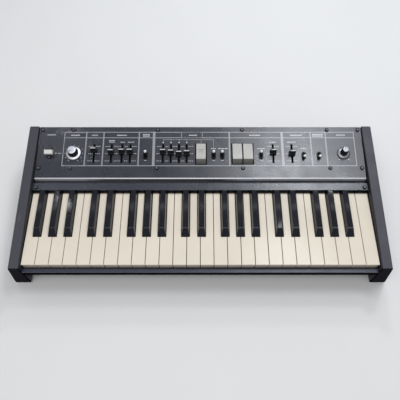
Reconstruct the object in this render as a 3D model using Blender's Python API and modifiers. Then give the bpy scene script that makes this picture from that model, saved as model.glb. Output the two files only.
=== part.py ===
"""Analog synthesizer with forty-four keys, built as separate pieces at their real size.

Metres, +Z up. X runs along the keyboard, low notes at -X, and -Y is the player's side. The origin is on the
surface that the feet stand on, midway between the cheeks and midway from front to back.
"""

import math

import bmesh
import bpy
from mathutils import Matrix, Vector

# Whole case: front to back, and the height of the cheeks
DEPTH = 0.280
CHEEK_FRONT_HEIGHT = 0.0725
CHEEK_RISE = 0.022
KEY_SETBACK = 0.0095

# Keyboard: places from front to back are measured from the white keys' front edge, heights from their top.
# Places across the panel and the rear wall are counted in white-key pitches
OCTAVE_SPAN = 0.165
WHITE_KEYS = 26
LOWEST_LETTER = 3
WHITE_PITCH = OCTAVE_SPAN / 7
KEY_GAP = 0.001
KEY_VISIBLE = 0.4964 * DEPTH
KEY_WALL = 0.0017
WHITE_HEAD = 0.3705 * KEY_VISIBLE
WHITE_SKIRT = 0.021
KEY_BODY_DEPTH = 0.014
LIP_OVERHANG = 0.002
LIP_THICKNESS = 0.002
SKIRT_SLOPE_END = 0.016
KEY_EDGE = 0.0005
BLACK_BASE_WIDTH = 0.0137
BLACK_TOP_WIDTH = 0.0097
BLACK_HEIGHT = 0.011
BLACK_FRONT_SLOPE = 0.0118
BLACK_SIDE_GAP = 0.0009
TAIL_WIDTH = 0.007
WHITE_TAIL_TOP = -0.005
TAIL_BOTTOM = -0.0135
TAIL_RIB_START = KEY_VISIBLE - 0.031
KEY_PIVOT = KEY_VISIBLE + 0.468 * (DEPTH - KEY_VISIBLE)
WHITE_TAIL_END = KEY_PIVOT + 0.015
BLACK_TAIL_END = KEY_PIVOT + 0.008
BLACK_TAIL_TOP = -0.003
TIE_BAR = 0.0038
TIE_BAR_THICKNESS = 0.0012
KEY_DIP_DEGREES = 3.0

# Clearances
SEAT_GAP = 0.0003
SIDE_GAP = 0.0007
PANEL_SIDE_GAP = 0.001

# Cheeks and feet
CHEEK_TOP_THICKNESS = 0.0186
CHEEK_FLARE = 0.0107
CHEEK_LIFT = 0.004
CHEEK_EDGE = 0.0022
CHEEK_ABOVE_KEYS = 0.0032
FOOT_HEIGHT = 0.005
FOOT_RADIUS = 0.010
FOOT_INSET_X = 0.030
FOOT_INSET_Y = 0.032

# Sheet metal
SHEET = 0.0012
LEDGE_BELOW_KEYS = 0.014
LEDGE_FRONT = -0.009
LEDGE_REAR = -0.0015
LEDGE_LIP = 0.013
RAIL_DROP = 0.0345
TRAY_FRONT = 0.0075
TRAY_FLANGE = 0.0245
TRAY_SIDE_HEIGHT = 0.026
REAR_FLANGE = 0.014

# Control panel
PANEL_SLOPE = math.radians(7.9)
PANEL_FRONT_GAP = 0.0087
PANEL_BELOW_CHEEK = 0.0018
PANEL_REAR_INSET = 0.0015
PANEL_FRONT_LIP = 0.0077
PANEL_REAR_LIP = 0.012
FRONT_SCREW_ROW = 0.021
REAR_SCREW_INSET = 0.0063
SCREW_COLUMNS = tuple(place * WHITE_PITCH for place in (-12.7273, -10.2667, -3.4364, 3.3727, 10.2455, 12.7273))

# Strip behind the keys
STRIP_FRONT = KEY_VISIBLE + 0.002
STRIP_REAR = STRIP_FRONT + 0.014
STRIP_HEIGHT = 0.007
STRIP_LIP_BOTTOM = 0.0015
GROOVE_TOP = 0.0005
GROOVE_REAR = STRIP_REAR + 0.016
PANEL_FLANGE_END = STRIP_REAR + 0.035
STRIP_SCREW_X = 12.7485 * WHITE_PITCH
STRIP_SCREW_Y = STRIP_FRONT + 0.007
LUG_LENGTH = 0.013
LUG_HEIGHT = 0.009

# Key frame, an extruded rail that carries guides, felts and the fulcrum edge
FRAME_FRONT = 0.016
FRAME_WALL = 0.0013
FRAME_PLATE_TOP = -0.0277
FRAME_FOOT = 0.014
FRAME_REAR = KEY_PIVOT + 0.021
FULCRUM_TOP = -0.0093
NOTCH_CLEARANCE = 0.0005
SHELF_DEPTH = 0.013
FRAME_END_GAP = 0.0023
GUIDE_HEIGHT = 0.0142
GUIDE_SIDE_GAP = 0.0005
WHITE_GUIDE_Y = 0.775 * WHITE_HEAD
BLACK_GUIDE_Y = KEY_VISIBLE - 0.049
FELT_FRONT = 0.022
FELT_WIDTH = 0.012
REST_FELT_THICKNESS = 0.003
REST_FELT_WIDTH = 0.007

# Contact board
CONTACT_BOARD_FRONT = KEY_VISIBLE - 0.037
CONTACT_BOARD_REAR = CONTACT_BOARD_FRONT + 0.030
CONTACT_RIDGE = 0.0014
BOARD_SHEET = 0.0016
BOARD_MARGIN = 0.001
CONTACT_Y = (CONTACT_BOARD_FRONT + CONTACT_BOARD_REAR) / 2
CONTACT_SIZE = 0.007

# Comb of return springs
SPRING_SHEET = 0.0004
SPRING_WIDTH = 0.006
SPRING_FOOT = CONTACT_BOARD_REAR + 0.008
SPRING_BEND = SPRING_FOOT + 0.010
SPRING_TIP = KEY_PIVOT - 0.014

# Slide controls
SLIDER_TRAVEL = 0.030
SLIDER_CENTRE = 0.0507
SLOT_WIDTH = 0.0024
SLIDER_STEM = 0.005
SLIDER_STEM_THICKNESS = 0.0012
SLIDER_END_GAP = 0.001
SLIDER_CAP_WIDTH = 0.0104
SLIDER_CAP_LENGTH = 0.0088
SLIDER_CAP_RIDGE = 0.0030
SLIDER_CAP_TOP = 0.014
SLIDER_CAP_LIFT = 0.0016
SLIDER_BODY_WIDTH = 0.009
SLIDER_BODY_WALL = 0.0035
BODY_DEPTH = 0.0112
SLIDERS = {
    "tone_slider": (-8.4636 * WHITE_PITCH, 0.0559),
    "vibrato_delay_slider": (-7.0848 * WHITE_PITCH, 0.0523),
    "vibrato_rate_slider": (-6.2448 * WHITE_PITCH, 0.0533),
    "vibrato_depth_slider": (-5.583 * WHITE_PITCH, 0.0532),
    "organ_slider_1": (-2.9739 * WHITE_PITCH, 0.0527),
    "organ_slider_2": (-2.3418 * WHITE_PITCH, 0.0515),
    "organ_slider_3": (-1.7012 * WHITE_PITCH, 0.0489),
    "organ_slider_4": (-1.0818 * WHITE_PITCH, 0.0503),
    "strings_slider": (5.7994 * WHITE_PITCH, 0.0526),
    "ensemble_slider": (7.297 * WHITE_PITCH, 0.0503),
}

# Toggle switches
TOGGLE_CENTRE = 0.0465
TOGGLE_TILT_DEGREES = 24.0
TOGGLE_COLLAR = (0.0085, 0.0150)
TOGGLE_COLLAR_HEIGHT = 0.0022
TOGGLE_BODY = (0.0085, 0.0145)
TOGGLE_SLOT = (0.0040, 0.0100)
TOGGLE_SLOT_DEPTH = 0.006
TOGGLE_PIVOT = -0.001
TOGGLE_SHAFT_RADIUS = 0.0016
TOGGLE_TIP_RADIUS = 0.0025
TOGGLE_TIP_HEIGHT = 0.0125
TOGGLES = {
    "octave_toggle": (-4.3527 * WHITE_PITCH, -1),
    "attack_toggle": (1.0691 * WHITE_PITCH, -1),
    "sustain_toggle": (1.7521 * WHITE_PITCH, -1),
    "strings_toggle": (4.8364 * WHITE_PITCH, -1),
    "ensemble_toggle": (8.2303 * WHITE_PITCH, 1),
    "transpose_toggle": (9.4394 * WHITE_PITCH, 1),
}

# Rocker tablets
TABLET_WIDTH = 0.0178
TABLET_FRONT = 0.0292
TABLET_REAR = 0.0708
TABLET_CREASE = (0.0366, 0.0078)
TABLET_CROWN = (0.0485, 0.0070)
TABLET_REAR_HEIGHT = 0.0015
TABLET_SKIRT = -0.0042
TABLET_PIVOT = (0.0520, -0.0050)
TABLET_PIN_RADIUS = 0.001
TABLET_SWING_DEGREES = 6.0
TABLET_MARGIN_X = 0.0022
TABLET_MARGIN_Y = 0.0012
TABLET_WALL = 0.0010
TABLETS = {
    "organ_tablet": 0.0594 * WHITE_PITCH,
    "strings_tablet_low": 2.94 * WHITE_PITCH,
    "strings_tablet_high": 3.7927 * WHITE_PITCH,
}
TABLET_WELLS = (("organ_tablet",), ("strings_tablet_low", "strings_tablet_high"))

# Rotary knobs: x, skirt radius, body foot radius, cap radius, height, pointer turn
KNOB_CENTRE = 0.0510
KNOB_LIFT = 0.0008
KNOB_SKIRT = 0.0024
POT_SHAFT_RADIUS = 0.003
POT_BUSH_RADIUS = 0.0036
POT_BUSH_HEIGHT = 0.002
POT_BODY_RADIUS = 0.008
POT_SHAFT_HEIGHT = 0.010
KNOBS = {
    "volume_knob": (-10.0885 * WHITE_PITCH, 0.0136, 0.0098, 0.0082, 0.0165),
    "tune_knob": (11.3909 * WHITE_PITCH, 0.0110, 0.0070, 0.0060, 0.0190),
}

# Power switch
POWER_X = -11.9891 * WHITE_PITCH
POWER_CENTRE = 0.0524
POWER_CAP = (0.0150, 0.0082)
POWER_CAP_TOP = 0.0115
POWER_CAP_BOTTOM = 0.0030
POWER_NECK = (0.0060, 0.0044)
POWER_HOLE = (0.0080, 0.0110)
POWER_PIVOT = -0.006
POWER_PIN_RADIUS = 0.001
POWER_NECK_END = -0.003
POWER_TILT_DEGREES = 10.0
POWER_BODY = (0.013, 0.028)
POWER_BODY_DEPTH = 0.0125
POWER_SCREW_SPAN = 0.0193

# Screws
SCREW_HOLE_RADIUS = 0.0018
SCREW_LENGTH = 0.008
SIDE_SCREW_Z = 0.017
SIDE_SCREWS_Y = (-0.090, 0.0, 0.100)

# Rear sockets
JACK_HEIGHT = 0.048
JACK_PITCH = 1.2727 * WHITE_PITCH
JACK_FIRST_X = 4.6667 * WHITE_PITCH
JACKS = 5
JACK_BORE_RADIUS = 0.00335
JACK_BORE_END = 0.004
JACK_BUSH_RADIUS = 0.0047
JACK_BUSH_HEIGHT = 0.0028
JACK_BOARD_HEIGHT = 0.022
JACK_BODY_RADIUS = 0.0085
JACK_BOARD_GAP = 0.016
INLET_X = -11.1152 * WHITE_PITCH
INLET_HEIGHT = 0.048
INLET_BODY = (0.0240, 0.0150)
INLET_FLANGE = (0.0300, 0.0210)
INLET_FLANGE_HEIGHT = 0.0016
INLET_CAVITY = (0.0176, 0.0094)
INLET_CAVITY_DEPTH = 0.014
INLET_BODY_LENGTH = 0.018
INLET_PIN_PITCH = 0.0086
INLET_PIN_RADIUS = 0.0012
INLET_PIN_LENGTH = 0.011

# Inside the case
GENERATOR_BOARD = (-5.5152 * WHITE_PITCH, 11.1152 * WHITE_PITCH, -0.070, 0.068)
CHIP = (0.019, 0.0065, 0.0035)
CHIP_COLUMNS = 6
CHIP_ROWS = 2
BOSS_HEIGHT = 0.006
BOSS_RADIUS = 0.004
TRANSFORMER_X = -8.697 * WHITE_PITCH
TRANSFORMER_Y = 0.060
TRANSFORMER_CORE = (0.044, 0.020)
TRANSFORMER_COIL = (0.026, 0.034)
TRANSFORMER_HEADROOM = 0.004

# Worked out from the sizes above
HALF_BED = WHITE_KEYS * WHITE_PITCH / 2
CHEEK_INNER = HALF_BED + SIDE_GAP
FRONT = -DEPTH / 2
REAR = DEPTH / 2
KEY_FRONT = FRONT + KEY_SETBACK
KEY_PLANE = CHEEK_LIFT + CHEEK_FRONT_HEIGHT - CHEEK_ABOVE_KEYS
PANEL_HALF_WIDTH = CHEEK_INNER - PANEL_SIDE_GAP
PANEL_REAR_Y = REAR - PANEL_REAR_INSET
PANEL_REAR_Z = CHEEK_LIFT + CHEEK_FRONT_HEIGHT + CHEEK_RISE - PANEL_BELOW_CHEEK
PANEL_FRONT_Y = KEY_FRONT + STRIP_REAR + PANEL_FRONT_GAP
PANEL_LENGTH = (PANEL_REAR_Y - PANEL_FRONT_Y) / math.cos(PANEL_SLOPE)
REAR_SCREW_ROW = PANEL_LENGTH - REAR_SCREW_INSET
PANEL_FRONT_Z = PANEL_REAR_Z - PANEL_LENGTH * math.sin(PANEL_SLOPE)
TRAY_HALF_WIDTH = CHEEK_INNER - SEAT_GAP
FLOOR_TOP = FOOT_HEIGHT + SHEET
REAR_WALL_OUTER = PANEL_REAR_Y - SHEET - SEAT_GAP
UNDER_PANEL = -SHEET - SEAT_GAP
BODY_FLOOR = UNDER_PANEL - BODY_DEPTH
LETTERS = "cdefgab"
BLACK_SLOT = {0: 1, 1: 3, 3: 1, 4: 3, 5: 5}

COLLECTION = "analog_synthesizer"
CUTTERS = "cutters"


def clear_scene():
    for obj in list(bpy.data.objects):
        bpy.data.objects.remove(obj, do_unlink=True)
    for name in (COLLECTION, CUTTERS):
        made = bpy.data.collections.new(name)
        bpy.context.scene.collection.children.link(made)
    bpy.data.collections[CUTTERS].hide_render = True


def material(name, color, roughness, metallic=0.0):
    mat = bpy.data.materials.new(name)
    mat.use_nodes = True
    shader = mat.node_tree.nodes["Principled BSDF"]
    shader.inputs["Base Color"].default_value = (*color, 1.0)
    shader.inputs["Roughness"].default_value = roughness
    shader.inputs["Metallic"].default_value = metallic
    return mat


def key_y(distance):
    """World Y of a point this far behind the white keys' front edge."""
    return KEY_FRONT + distance


def key_z(height):
    """World Z of a point this far above the white keys' top."""
    return KEY_PLANE + height


def panel_place(x, along=0.0, height=0.0):
    """Place on the sloping panel: along runs up the slope, height stands off its face."""
    base = Matrix.Translation((x, PANEL_FRONT_Y, PANEL_FRONT_Z)) @ Matrix.Rotation(PANEL_SLOPE, 4, "X")
    return base @ Matrix.Translation((0.0, along, height))


def rectangle(width, length, z, x=0.0, y=0.0):
    """Ring of four points, anticlockwise seen from above."""
    signs = ((-1, -1), (1, -1), (1, 1), (-1, 1))
    return [Vector((x + sx * width / 2, y + sy * length / 2, z)) for sx, sy in signs]


def circle(radius, z, sides, x=0.0, y=0.0):
    angles = [2 * math.pi * (step + 0.5) / sides for step in range(sides)]
    return [Vector((x + radius * math.cos(a), y + radius * math.sin(a), z)) for a in angles]


def oval(size, z, sides=12):
    """Ring with straight flanks and round ends, its long way along Y."""
    radius = size[0] / 2
    reach = size[1] / 2 - radius
    ring = []
    for point in circle(radius, z, sides):
        ring.append(Vector((point.x, point.y + math.copysign(reach, point.y), z)))
    return ring


def inset(ring, distance):
    """The same outline drawn in by a distance, its corners mitred."""
    count = len(ring)
    drawn = []
    for index, point in enumerate(ring):
        before = (point - ring[index - 1]).to_2d().normalized()
        after = (ring[(index + 1) % count] - point).to_2d().normalized()
        normal_before = Vector((-before.y, before.x))
        normal_after = Vector((-after.y, after.x))
        mitre = (normal_before + normal_after).normalized()
        reach = distance / max(mitre.dot(normal_before), 0.2)
        drawn.append(Vector((point.x + mitre.x * reach, point.y + mitre.y * reach, point.z)))
    return drawn


def add_tower(mesh, rings, matrix=None):
    """One closed solid through rings of equal count, each one extruded from the last."""
    matrix = matrix or Matrix()
    base = [mesh.verts.new(matrix @ point) for point in rings[0]]
    face = mesh.faces.new(base)
    for ring in rings[1:]:
        face = bmesh.ops.extrude_discrete_faces(mesh, faces=[face])["faces"][0]
        for vert, point in zip(face.verts, ring):
            vert.co = matrix @ point
    mesh.faces.new(base[::-1])


def new_object(name, mesh, mat, matrix=None, collection=COLLECTION):
    """Turns a bmesh into an object of its own and frees it."""
    bmesh.ops.recalc_face_normals(mesh, faces=mesh.faces)
    data = bpy.data.meshes.new(name)
    mesh.to_mesh(data)
    mesh.free()
    obj = bpy.data.objects.new(name, data)
    bpy.data.collections[collection].objects.link(obj)
    if mat:
        data.materials.append(mat)
    obj.matrix_world = matrix or Matrix()
    if collection == CUTTERS:
        obj.hide_render = True
        obj.display_type = "WIRE"
    return obj


def add_box(mesh, low, high):
    """A box between two corners."""
    size = [b - a for a, b in zip(low, high)]
    centre = [(a + b) / 2 for a, b in zip(low, high)]
    place = Matrix.Translation(centre) @ Matrix.Diagonal((*size, 1.0))
    bmesh.ops.create_cube(mesh, size=1.0, matrix=place)


def add_cylinder(mesh, radius, depth, sides, matrix):
    bmesh.ops.create_cone(
        mesh, cap_ends=True, segments=sides, radius1=radius, radius2=radius, depth=depth, matrix=matrix
    )


def prism(name, outline, half_width, mat):
    """A profile drawn in Y and Z, as a filled 2D curve, run out to both sides along X."""
    curve = bpy.data.curves.new(name, "CURVE")
    curve.dimensions = "2D"
    curve.fill_mode = "BOTH"
    curve.extrude = half_width
    spline = curve.splines.new("POLY")
    spline.points.add(len(outline) - 1)
    for point, (y, z) in zip(spline.points, outline):
        point.co = (y, z, 0.0, 1.0)
    spline.use_cyclic_u = True
    drawn = bpy.data.objects.new(name, curve)
    bpy.data.collections[COLLECTION].objects.link(drawn)
    graph = bpy.context.evaluated_depsgraph_get()
    data = bpy.data.meshes.new_from_object(drawn.evaluated_get(graph))
    bpy.data.objects.remove(drawn, do_unlink=True)
    mesh = bmesh.new()
    mesh.from_mesh(data)
    bmesh.ops.remove_doubles(mesh, verts=mesh.verts, dist=1e-6)
    # The curve lies in X and Y and is as thick as the part is wide, so its axes are turned to Y, Z and X.
    turn = Matrix(((0, 0, 1, 0), (1, 0, 0, 0), (0, 1, 0, 0), (0, 0, 0, 1)))
    bmesh.ops.transform(mesh, matrix=turn, verts=mesh.verts)
    return new_object(name, mesh, mat)


def folded_sheet(path, thickness):
    """Outline of a bent sheet whose middle follows a path in Y and Z, with mitred folds."""
    sides = []
    for sign in (1, -1):
        side = []
        for index, point in enumerate(path):
            here = Vector(point)
            before = (here - Vector(path[index - 1])).normalized() if index else None
            after = (Vector(path[index + 1]) - here).normalized() if index < len(path) - 1 else None
            normals = [Vector((-d.y, d.x)) for d in (before, after) if d]
            mitre = sum(normals, Vector((0.0, 0.0))).normalized()
            reach = sign * thickness / 2 / mitre.dot(normals[0])
            side.append(tuple(here + mitre * reach))
        sides.append(side)
    return sides[0] + sides[1][::-1]


def boolean(obj, other, operation):
    step = obj.modifiers.new(f"{operation.lower()}_{other.name}", "BOOLEAN")
    step.operation = operation
    step.solver = "EXACT"
    step.object = other


def move_origin(obj, place):
    """Puts the object's origin on a joint axis and leaves its shape where it is."""
    obj.data.transform(place.inverted() @ obj.matrix_world)
    obj.matrix_world = place


def shade_round(obj, degrees=35.0):
    obj.data.shade_smooth()
    obj.data.set_sharp_from_angle(angle=math.radians(degrees))


def white_edges(index):
    """Left edge of white key number index, and its letter counted from C."""
    return -HALF_BED + index * WHITE_PITCH, (LOWEST_LETTER + index) % 7


def black_offset(letter):
    """How far the black key after this letter stands from that white key's right edge."""
    first_white, whites, slots = (0, 3, 5) if letter < 3 else (3, 4, 7)
    centre = (BLACK_SLOT[letter] + 0.5) * whites * WHITE_PITCH / slots
    return centre - (letter - first_white + 1) * WHITE_PITCH


def black_centre(index):
    """Centre of the black key between white keys index and index + 1, or None where there is none."""
    left, letter = white_edges(index)
    if letter not in BLACK_SLOT or index + 1 >= WHITE_KEYS:
        return None
    return left + WHITE_PITCH + black_offset(letter)


def white_outline(index):
    """Top outline of a white key, anticlockwise from its front left corner, and its narrow part's centre."""
    left, _ = white_edges(index)
    low, high = left + KEY_GAP / 2, left + WHITE_PITCH - KEY_GAP / 2
    half_slot = BLACK_BASE_WIDTH / 2 + BLACK_SIDE_GAP
    black_left = black_centre(index - 1) if index else None
    black_right = black_centre(index)
    narrow_low = black_left + half_slot if black_left is not None else low
    narrow_high = black_right - half_slot if black_right is not None else high
    points = [(low, 0.0), (high, 0.0), (high, SKIRT_SLOPE_END)]
    if black_right is not None:
        points += [(high, WHITE_HEAD), (narrow_high, WHITE_HEAD)]
    points += [(narrow_high, KEY_VISIBLE), (narrow_low, KEY_VISIBLE)]
    if black_left is not None:
        points += [(narrow_low, WHITE_HEAD), (low, WHITE_HEAD)]
    points.append((low, SKIRT_SLOPE_END))
    return [Vector((x, y, 0.0)) for x, y in points], (narrow_low + narrow_high) / 2


def add_white_key(mesh, index):
    """Hollow shell of one white key, in X, distance behind the front edge and height above the key tops."""
    outline, _ = white_outline(index)

    def level(ring, z, push=0.0):
        front = min(point.y for point in ring)
        return [Vector((p.x, p.y + (push if p.y < front + 1e-6 else 0.0), z)) for p in ring]

    walls = level(outline, -KEY_BODY_DEPTH, LIP_OVERHANG)
    inner = inset(walls, KEY_WALL)
    rim = [Vector((p.x, p.y, -WHITE_SKIRT if p.y < SKIRT_SLOPE_END / 2 else p.z)) for p in walls]
    inner_rim = [Vector((p.x, p.y, r.z)) for p, r in zip(inner, rim)]
    add_tower(
        mesh,
        [
            level(inner, -KEY_WALL),
            inner_rim,
            rim,
            level(outline, -LIP_THICKNESS - LIP_OVERHANG / 2, LIP_OVERHANG),
            level(outline, -LIP_THICKNESS),
            level(outline, -KEY_EDGE),
            level(inset(outline, KEY_EDGE), 0.0),
        ],
    )


def add_black_key(mesh, centre):
    """Hollow shell of one black key, tapered to its top and sloped at its front."""
    front = WHITE_HEAD + KEY_GAP / 2
    top_front = front + BLACK_FRONT_SLOPE

    def level(width, start, z, margin=0.0):
        length = KEY_VISIBLE - start - 2 * margin
        return rectangle(width - 2 * margin, length, z, centre, start + margin + length / 2)

    shoulder = KEY_EDGE
    add_tower(
        mesh,
        [
            level(BLACK_TOP_WIDTH, top_front, BLACK_HEIGHT - KEY_WALL, KEY_WALL),
            level(BLACK_BASE_WIDTH, front, -KEY_BODY_DEPTH, KEY_WALL),
            level(BLACK_BASE_WIDTH, front, -KEY_BODY_DEPTH),
            level(BLACK_BASE_WIDTH, front, shoulder),
            level(BLACK_TOP_WIDTH, top_front, BLACK_HEIGHT - 2 * KEY_EDGE),
            level(BLACK_TOP_WIDTH, top_front, BLACK_HEIGHT, 2 * KEY_EDGE),
        ],
    )


def tail_outline(rib_top, top, end):
    """Side profile of a key's tail: a rib under the cap, a bar to the rear and the notch over the fulcrum."""
    wall = KEY_VISIBLE - KEY_WALL / 2
    notch = FRAME_WALL / 2 + NOTCH_CLEARANCE
    ceiling = FULCRUM_TOP + SEAT_GAP
    return [
        (TAIL_RIB_START, rib_top),
        (TAIL_RIB_START, top),
        (TAIL_RIB_START + 0.012, TAIL_BOTTOM),
        (KEY_PIVOT - notch, TAIL_BOTTOM),
        (KEY_PIVOT - notch, ceiling),
        (KEY_PIVOT + notch, ceiling),
        (KEY_PIVOT + notch, TAIL_BOTTOM),
        (end, TAIL_BOTTOM),
        (end, top),
        (wall, top),
        (wall, rib_top),
    ]


def add_tail(mesh, centre, outline):
    """The tail bar as one prism across the key."""
    edges = (centre - TAIL_WIDTH / 2, centre + TAIL_WIDTH / 2)
    add_tower(mesh, [[Vector((x, y, z)) for y, z in outline] for x in edges])


def add_tie_bar(mesh, centres, white):
    """Bar across the tails of one group: behind the black tails, or just above the white ones."""
    if white:
        low, high = (WHITE_TAIL_END - TIE_BAR, TAIL_BOTTOM), (WHITE_TAIL_END, WHITE_TAIL_TOP)
    else:
        low = (BLACK_TAIL_END - TIE_BAR, BLACK_TAIL_TOP - TIE_BAR_THICKNESS)
        high = (BLACK_TAIL_END, BLACK_TAIL_TOP)
    margin = TAIL_WIDTH / 4
    shrink = SEAT_GAP / 2
    start = (min(centres) - margin, low[0] + shrink, low[1] + (shrink if white else 0.0))
    add_box(mesh, start, (max(centres) + margin, high[0] - shrink, high[1] - shrink))


def make_keys(name, numbers, white, mat):
    """One node of keys that share a pivot: shells joined to their tails, and the tails to each other."""
    shells, tails, bars = bmesh.new(), bmesh.new(), bmesh.new()
    if white:
        centres = [white_outline(number)[1] for number in numbers]
        outline = tail_outline(-KEY_WALL / 2, WHITE_TAIL_TOP, WHITE_TAIL_END)
    else:
        centres = [black_centre(number) for number in numbers]
        outline = tail_outline(BLACK_HEIGHT - KEY_WALL / 2, BLACK_TAIL_TOP, BLACK_TAIL_END)
    for number, centre in zip(numbers, centres):
        if white:
            add_white_key(shells, number)
        else:
            add_black_key(shells, centre)
        add_tail(tails, centre, outline)
    world = Matrix.Translation((0.0, KEY_FRONT, KEY_PLANE))
    pivot_x = centres[0] if len(centres) == 1 else 0.0
    pivot = Matrix.Translation((pivot_x, key_y(KEY_PIVOT), key_z(FULCRUM_TOP)))
    keys = new_object(name, shells, mat, world)
    move_origin(keys, pivot)
    joined = [new_object(f"{name}_tails", tails, None, world, CUTTERS)]
    if len(centres) > 1:
        add_tie_bar(bars, centres, white)
        joined.append(new_object(f"{name}_bar", bars, None, world, CUTTERS))
    for part in joined:
        boolean(keys, part, "UNION")


def make_keyboard(ivory, ebony):
    """The middle octave's twelve keys are nodes of their own, and the keys on each side of it are grouped."""
    first = len(LETTERS) - LOWEST_LETTER + len(LETTERS)
    after = first + len(LETTERS)
    for index in range(first, after):
        letter = LETTERS[white_edges(index)[1]]
        make_keys(f"key_{letter}", [index], True, ivory)
        if black_centre(index) is not None:
            make_keys(f"key_{letter}_sharp", [index], False, ebony)
    for side, span in (("left", range(first)), ("right", range(after, WHITE_KEYS))):
        make_keys(f"{side}_white_keys", list(span), True, ivory)
        blacks = [index for index in span if black_centre(index) is not None]
        make_keys(f"{side}_black_keys", blacks, False, ebony)


def all_key_centres():
    """Tail centre and kind of each of the keys."""
    centres = [(white_outline(index)[1], "white", index) for index in range(WHITE_KEYS)]
    blacks = [(black_centre(index), "black", index) for index in range(WHITE_KEYS)]
    return centres + [entry for entry in blacks if entry[0] is not None]


def make_key_frame(mat):
    """Extruded rail with a front foot, a rear leg, the fulcrum edge and a shelf, and a guide tab for each key."""
    bottom = FRAME_PLATE_TOP - FRAME_WALL
    foot = -RAIL_DROP - SHEET / 2
    floor = FLOOR_TOP + SEAT_GAP - KEY_PLANE
    half = FRAME_WALL / 2
    shelf = TAIL_BOTTOM - 2 * SEAT_GAP - REST_FELT_THICKNESS
    ridge = FRAME_PLATE_TOP + CONTACT_RIDGE
    ridge_width = 0.003
    inner_rear = FRAME_REAR - FRAME_WALL
    profile = [
        (FRAME_FRONT, foot),
        (FRAME_FRONT + FRAME_FOOT, foot),
        (FRAME_FRONT + FRAME_FOOT, foot + FRAME_WALL),
        (FRAME_FRONT + FRAME_WALL, foot + FRAME_WALL),
        (FRAME_FRONT + FRAME_WALL, bottom),
        (inner_rear, bottom),
        (inner_rear, floor + FRAME_WALL),
        (inner_rear - FRAME_FOOT, floor + FRAME_WALL),
        (inner_rear - FRAME_FOOT, floor),
        (FRAME_REAR, floor),
        (FRAME_REAR, shelf),
        (FRAME_REAR - SHELF_DEPTH, shelf),
        (FRAME_REAR - SHELF_DEPTH, shelf - FRAME_WALL),
        (inner_rear, shelf - FRAME_WALL),
        (inner_rear, FRAME_PLATE_TOP),
        (KEY_PIVOT + half, FRAME_PLATE_TOP),
        (KEY_PIVOT + half, FULCRUM_TOP - half / 2),
        (KEY_PIVOT + half / 2, FULCRUM_TOP),
        (KEY_PIVOT - half / 2, FULCRUM_TOP),
        (KEY_PIVOT - half, FULCRUM_TOP - half / 2),
        (KEY_PIVOT - half, FRAME_PLATE_TOP),
    ]
    for centre in (CONTACT_BOARD_REAR - ridge_width, CONTACT_BOARD_FRONT + ridge_width):
        for y, z in ((1, FRAME_PLATE_TOP), (1, ridge), (-1, ridge), (-1, FRAME_PLATE_TOP)):
            profile.append((centre + y * ridge_width / 2, z))
    profile.append((FRAME_FRONT, FRAME_PLATE_TOP))
    world = [(key_y(y), key_z(z)) for y, z in profile]
    frame = prism("key_frame", world, TRAY_HALF_WIDTH - FRAME_END_GAP, mat)
    tabs = bmesh.new()
    white_guide = WHITE_PITCH - KEY_GAP - 2 * (KEY_WALL + GUIDE_SIDE_GAP)
    black_guide = BLACK_BASE_WIDTH - 2 * KEY_WALL - 2 * GUIDE_SIDE_GAP - 0.0015
    for centre, kind, index in all_key_centres():
        white = kind == "white"
        x = white_edges(index)[0] + WHITE_PITCH / 2 if white else centre
        width = white_guide if white else black_guide
        y = key_y(WHITE_GUIDE_Y if white else BLACK_GUIDE_Y)
        low = (x - width / 2, y - SHEET / 2, key_z(bottom + FRAME_WALL / 2))
        high = (x + width / 2, y + SHEET / 2, key_z(FRAME_PLATE_TOP + GUIDE_HEIGHT))
        add_box(tabs, low, high)
    boolean(frame, new_object("key_guides", tabs, None, None, CUTTERS), "UNION")


def make_felts(mat):
    """Soft strip that stops the keys at the front, and the one that their tails rest on."""
    half = TRAY_HALF_WIDTH - FRAME_END_GAP
    dip = (KEY_PIVOT - FELT_FRONT) * math.sin(math.radians(KEY_DIP_DEGREES))
    top = -KEY_BODY_DEPTH - dip - 2 * SEAT_GAP
    felt = bmesh.new()
    low = (-half, key_y(FELT_FRONT), key_z(FRAME_PLATE_TOP + SEAT_GAP))
    add_box(felt, low, (half, key_y(FELT_FRONT + FELT_WIDTH), key_z(top)))
    new_object("down_stop_felt", felt, mat)
    rear_top = TAIL_BOTTOM - SEAT_GAP
    start = FRAME_REAR - SHELF_DEPTH
    felt = bmesh.new()
    low = (-half, key_y(start), key_z(rear_top - REST_FELT_THICKNESS))
    add_box(felt, low, (half, key_y(start + REST_FELT_WIDTH), key_z(rear_top)))
    new_object("rest_felt", felt, mat)


def make_key_springs(mat):
    """Comb of bent leaves, cut from one strip: its back stands on the frame and each tip is under a key."""
    half = SPRING_SHEET / 2
    foot = FRAME_PLATE_TOP + SEAT_GAP + half
    tip = TAIL_BOTTOM - SEAT_GAP - half
    path = [(SPRING_FOOT, foot), (SPRING_BEND, foot), (SPRING_TIP - 0.006, tip), (SPRING_TIP, tip)]
    world = [(key_y(y), key_z(z)) for y, z in path]
    centres = sorted(centre for centre, _, _ in all_key_centres())
    reach = centres[-1] + SPRING_WIDTH / 2
    springs = prism("key_springs", folded_sheet(world, SPRING_SHEET), reach, mat)
    move_x = (centres[0] - SPRING_WIDTH / 2 + reach) / 2
    springs.data.transform(Matrix.Diagonal(((reach - move_x) / reach, 1.0, 1.0, 1.0)))
    springs.data.transform(Matrix.Translation((move_x, 0.0, 0.0)))
    gaps = bmesh.new()
    for left, right in zip(centres, centres[1:]):
        low = (left + SPRING_WIDTH / 2, key_y(SPRING_BEND - 0.004), key_z(FRAME_PLATE_TOP - SHEET))
        high = (right - SPRING_WIDTH / 2, key_y(SPRING_TIP + 0.002), key_z(TAIL_BOTTOM + SHEET))
        add_box(gaps, low, high)
    boolean(springs, new_object("spring_gaps", gaps, None, None, CUTTERS), "DIFFERENCE")


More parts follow.
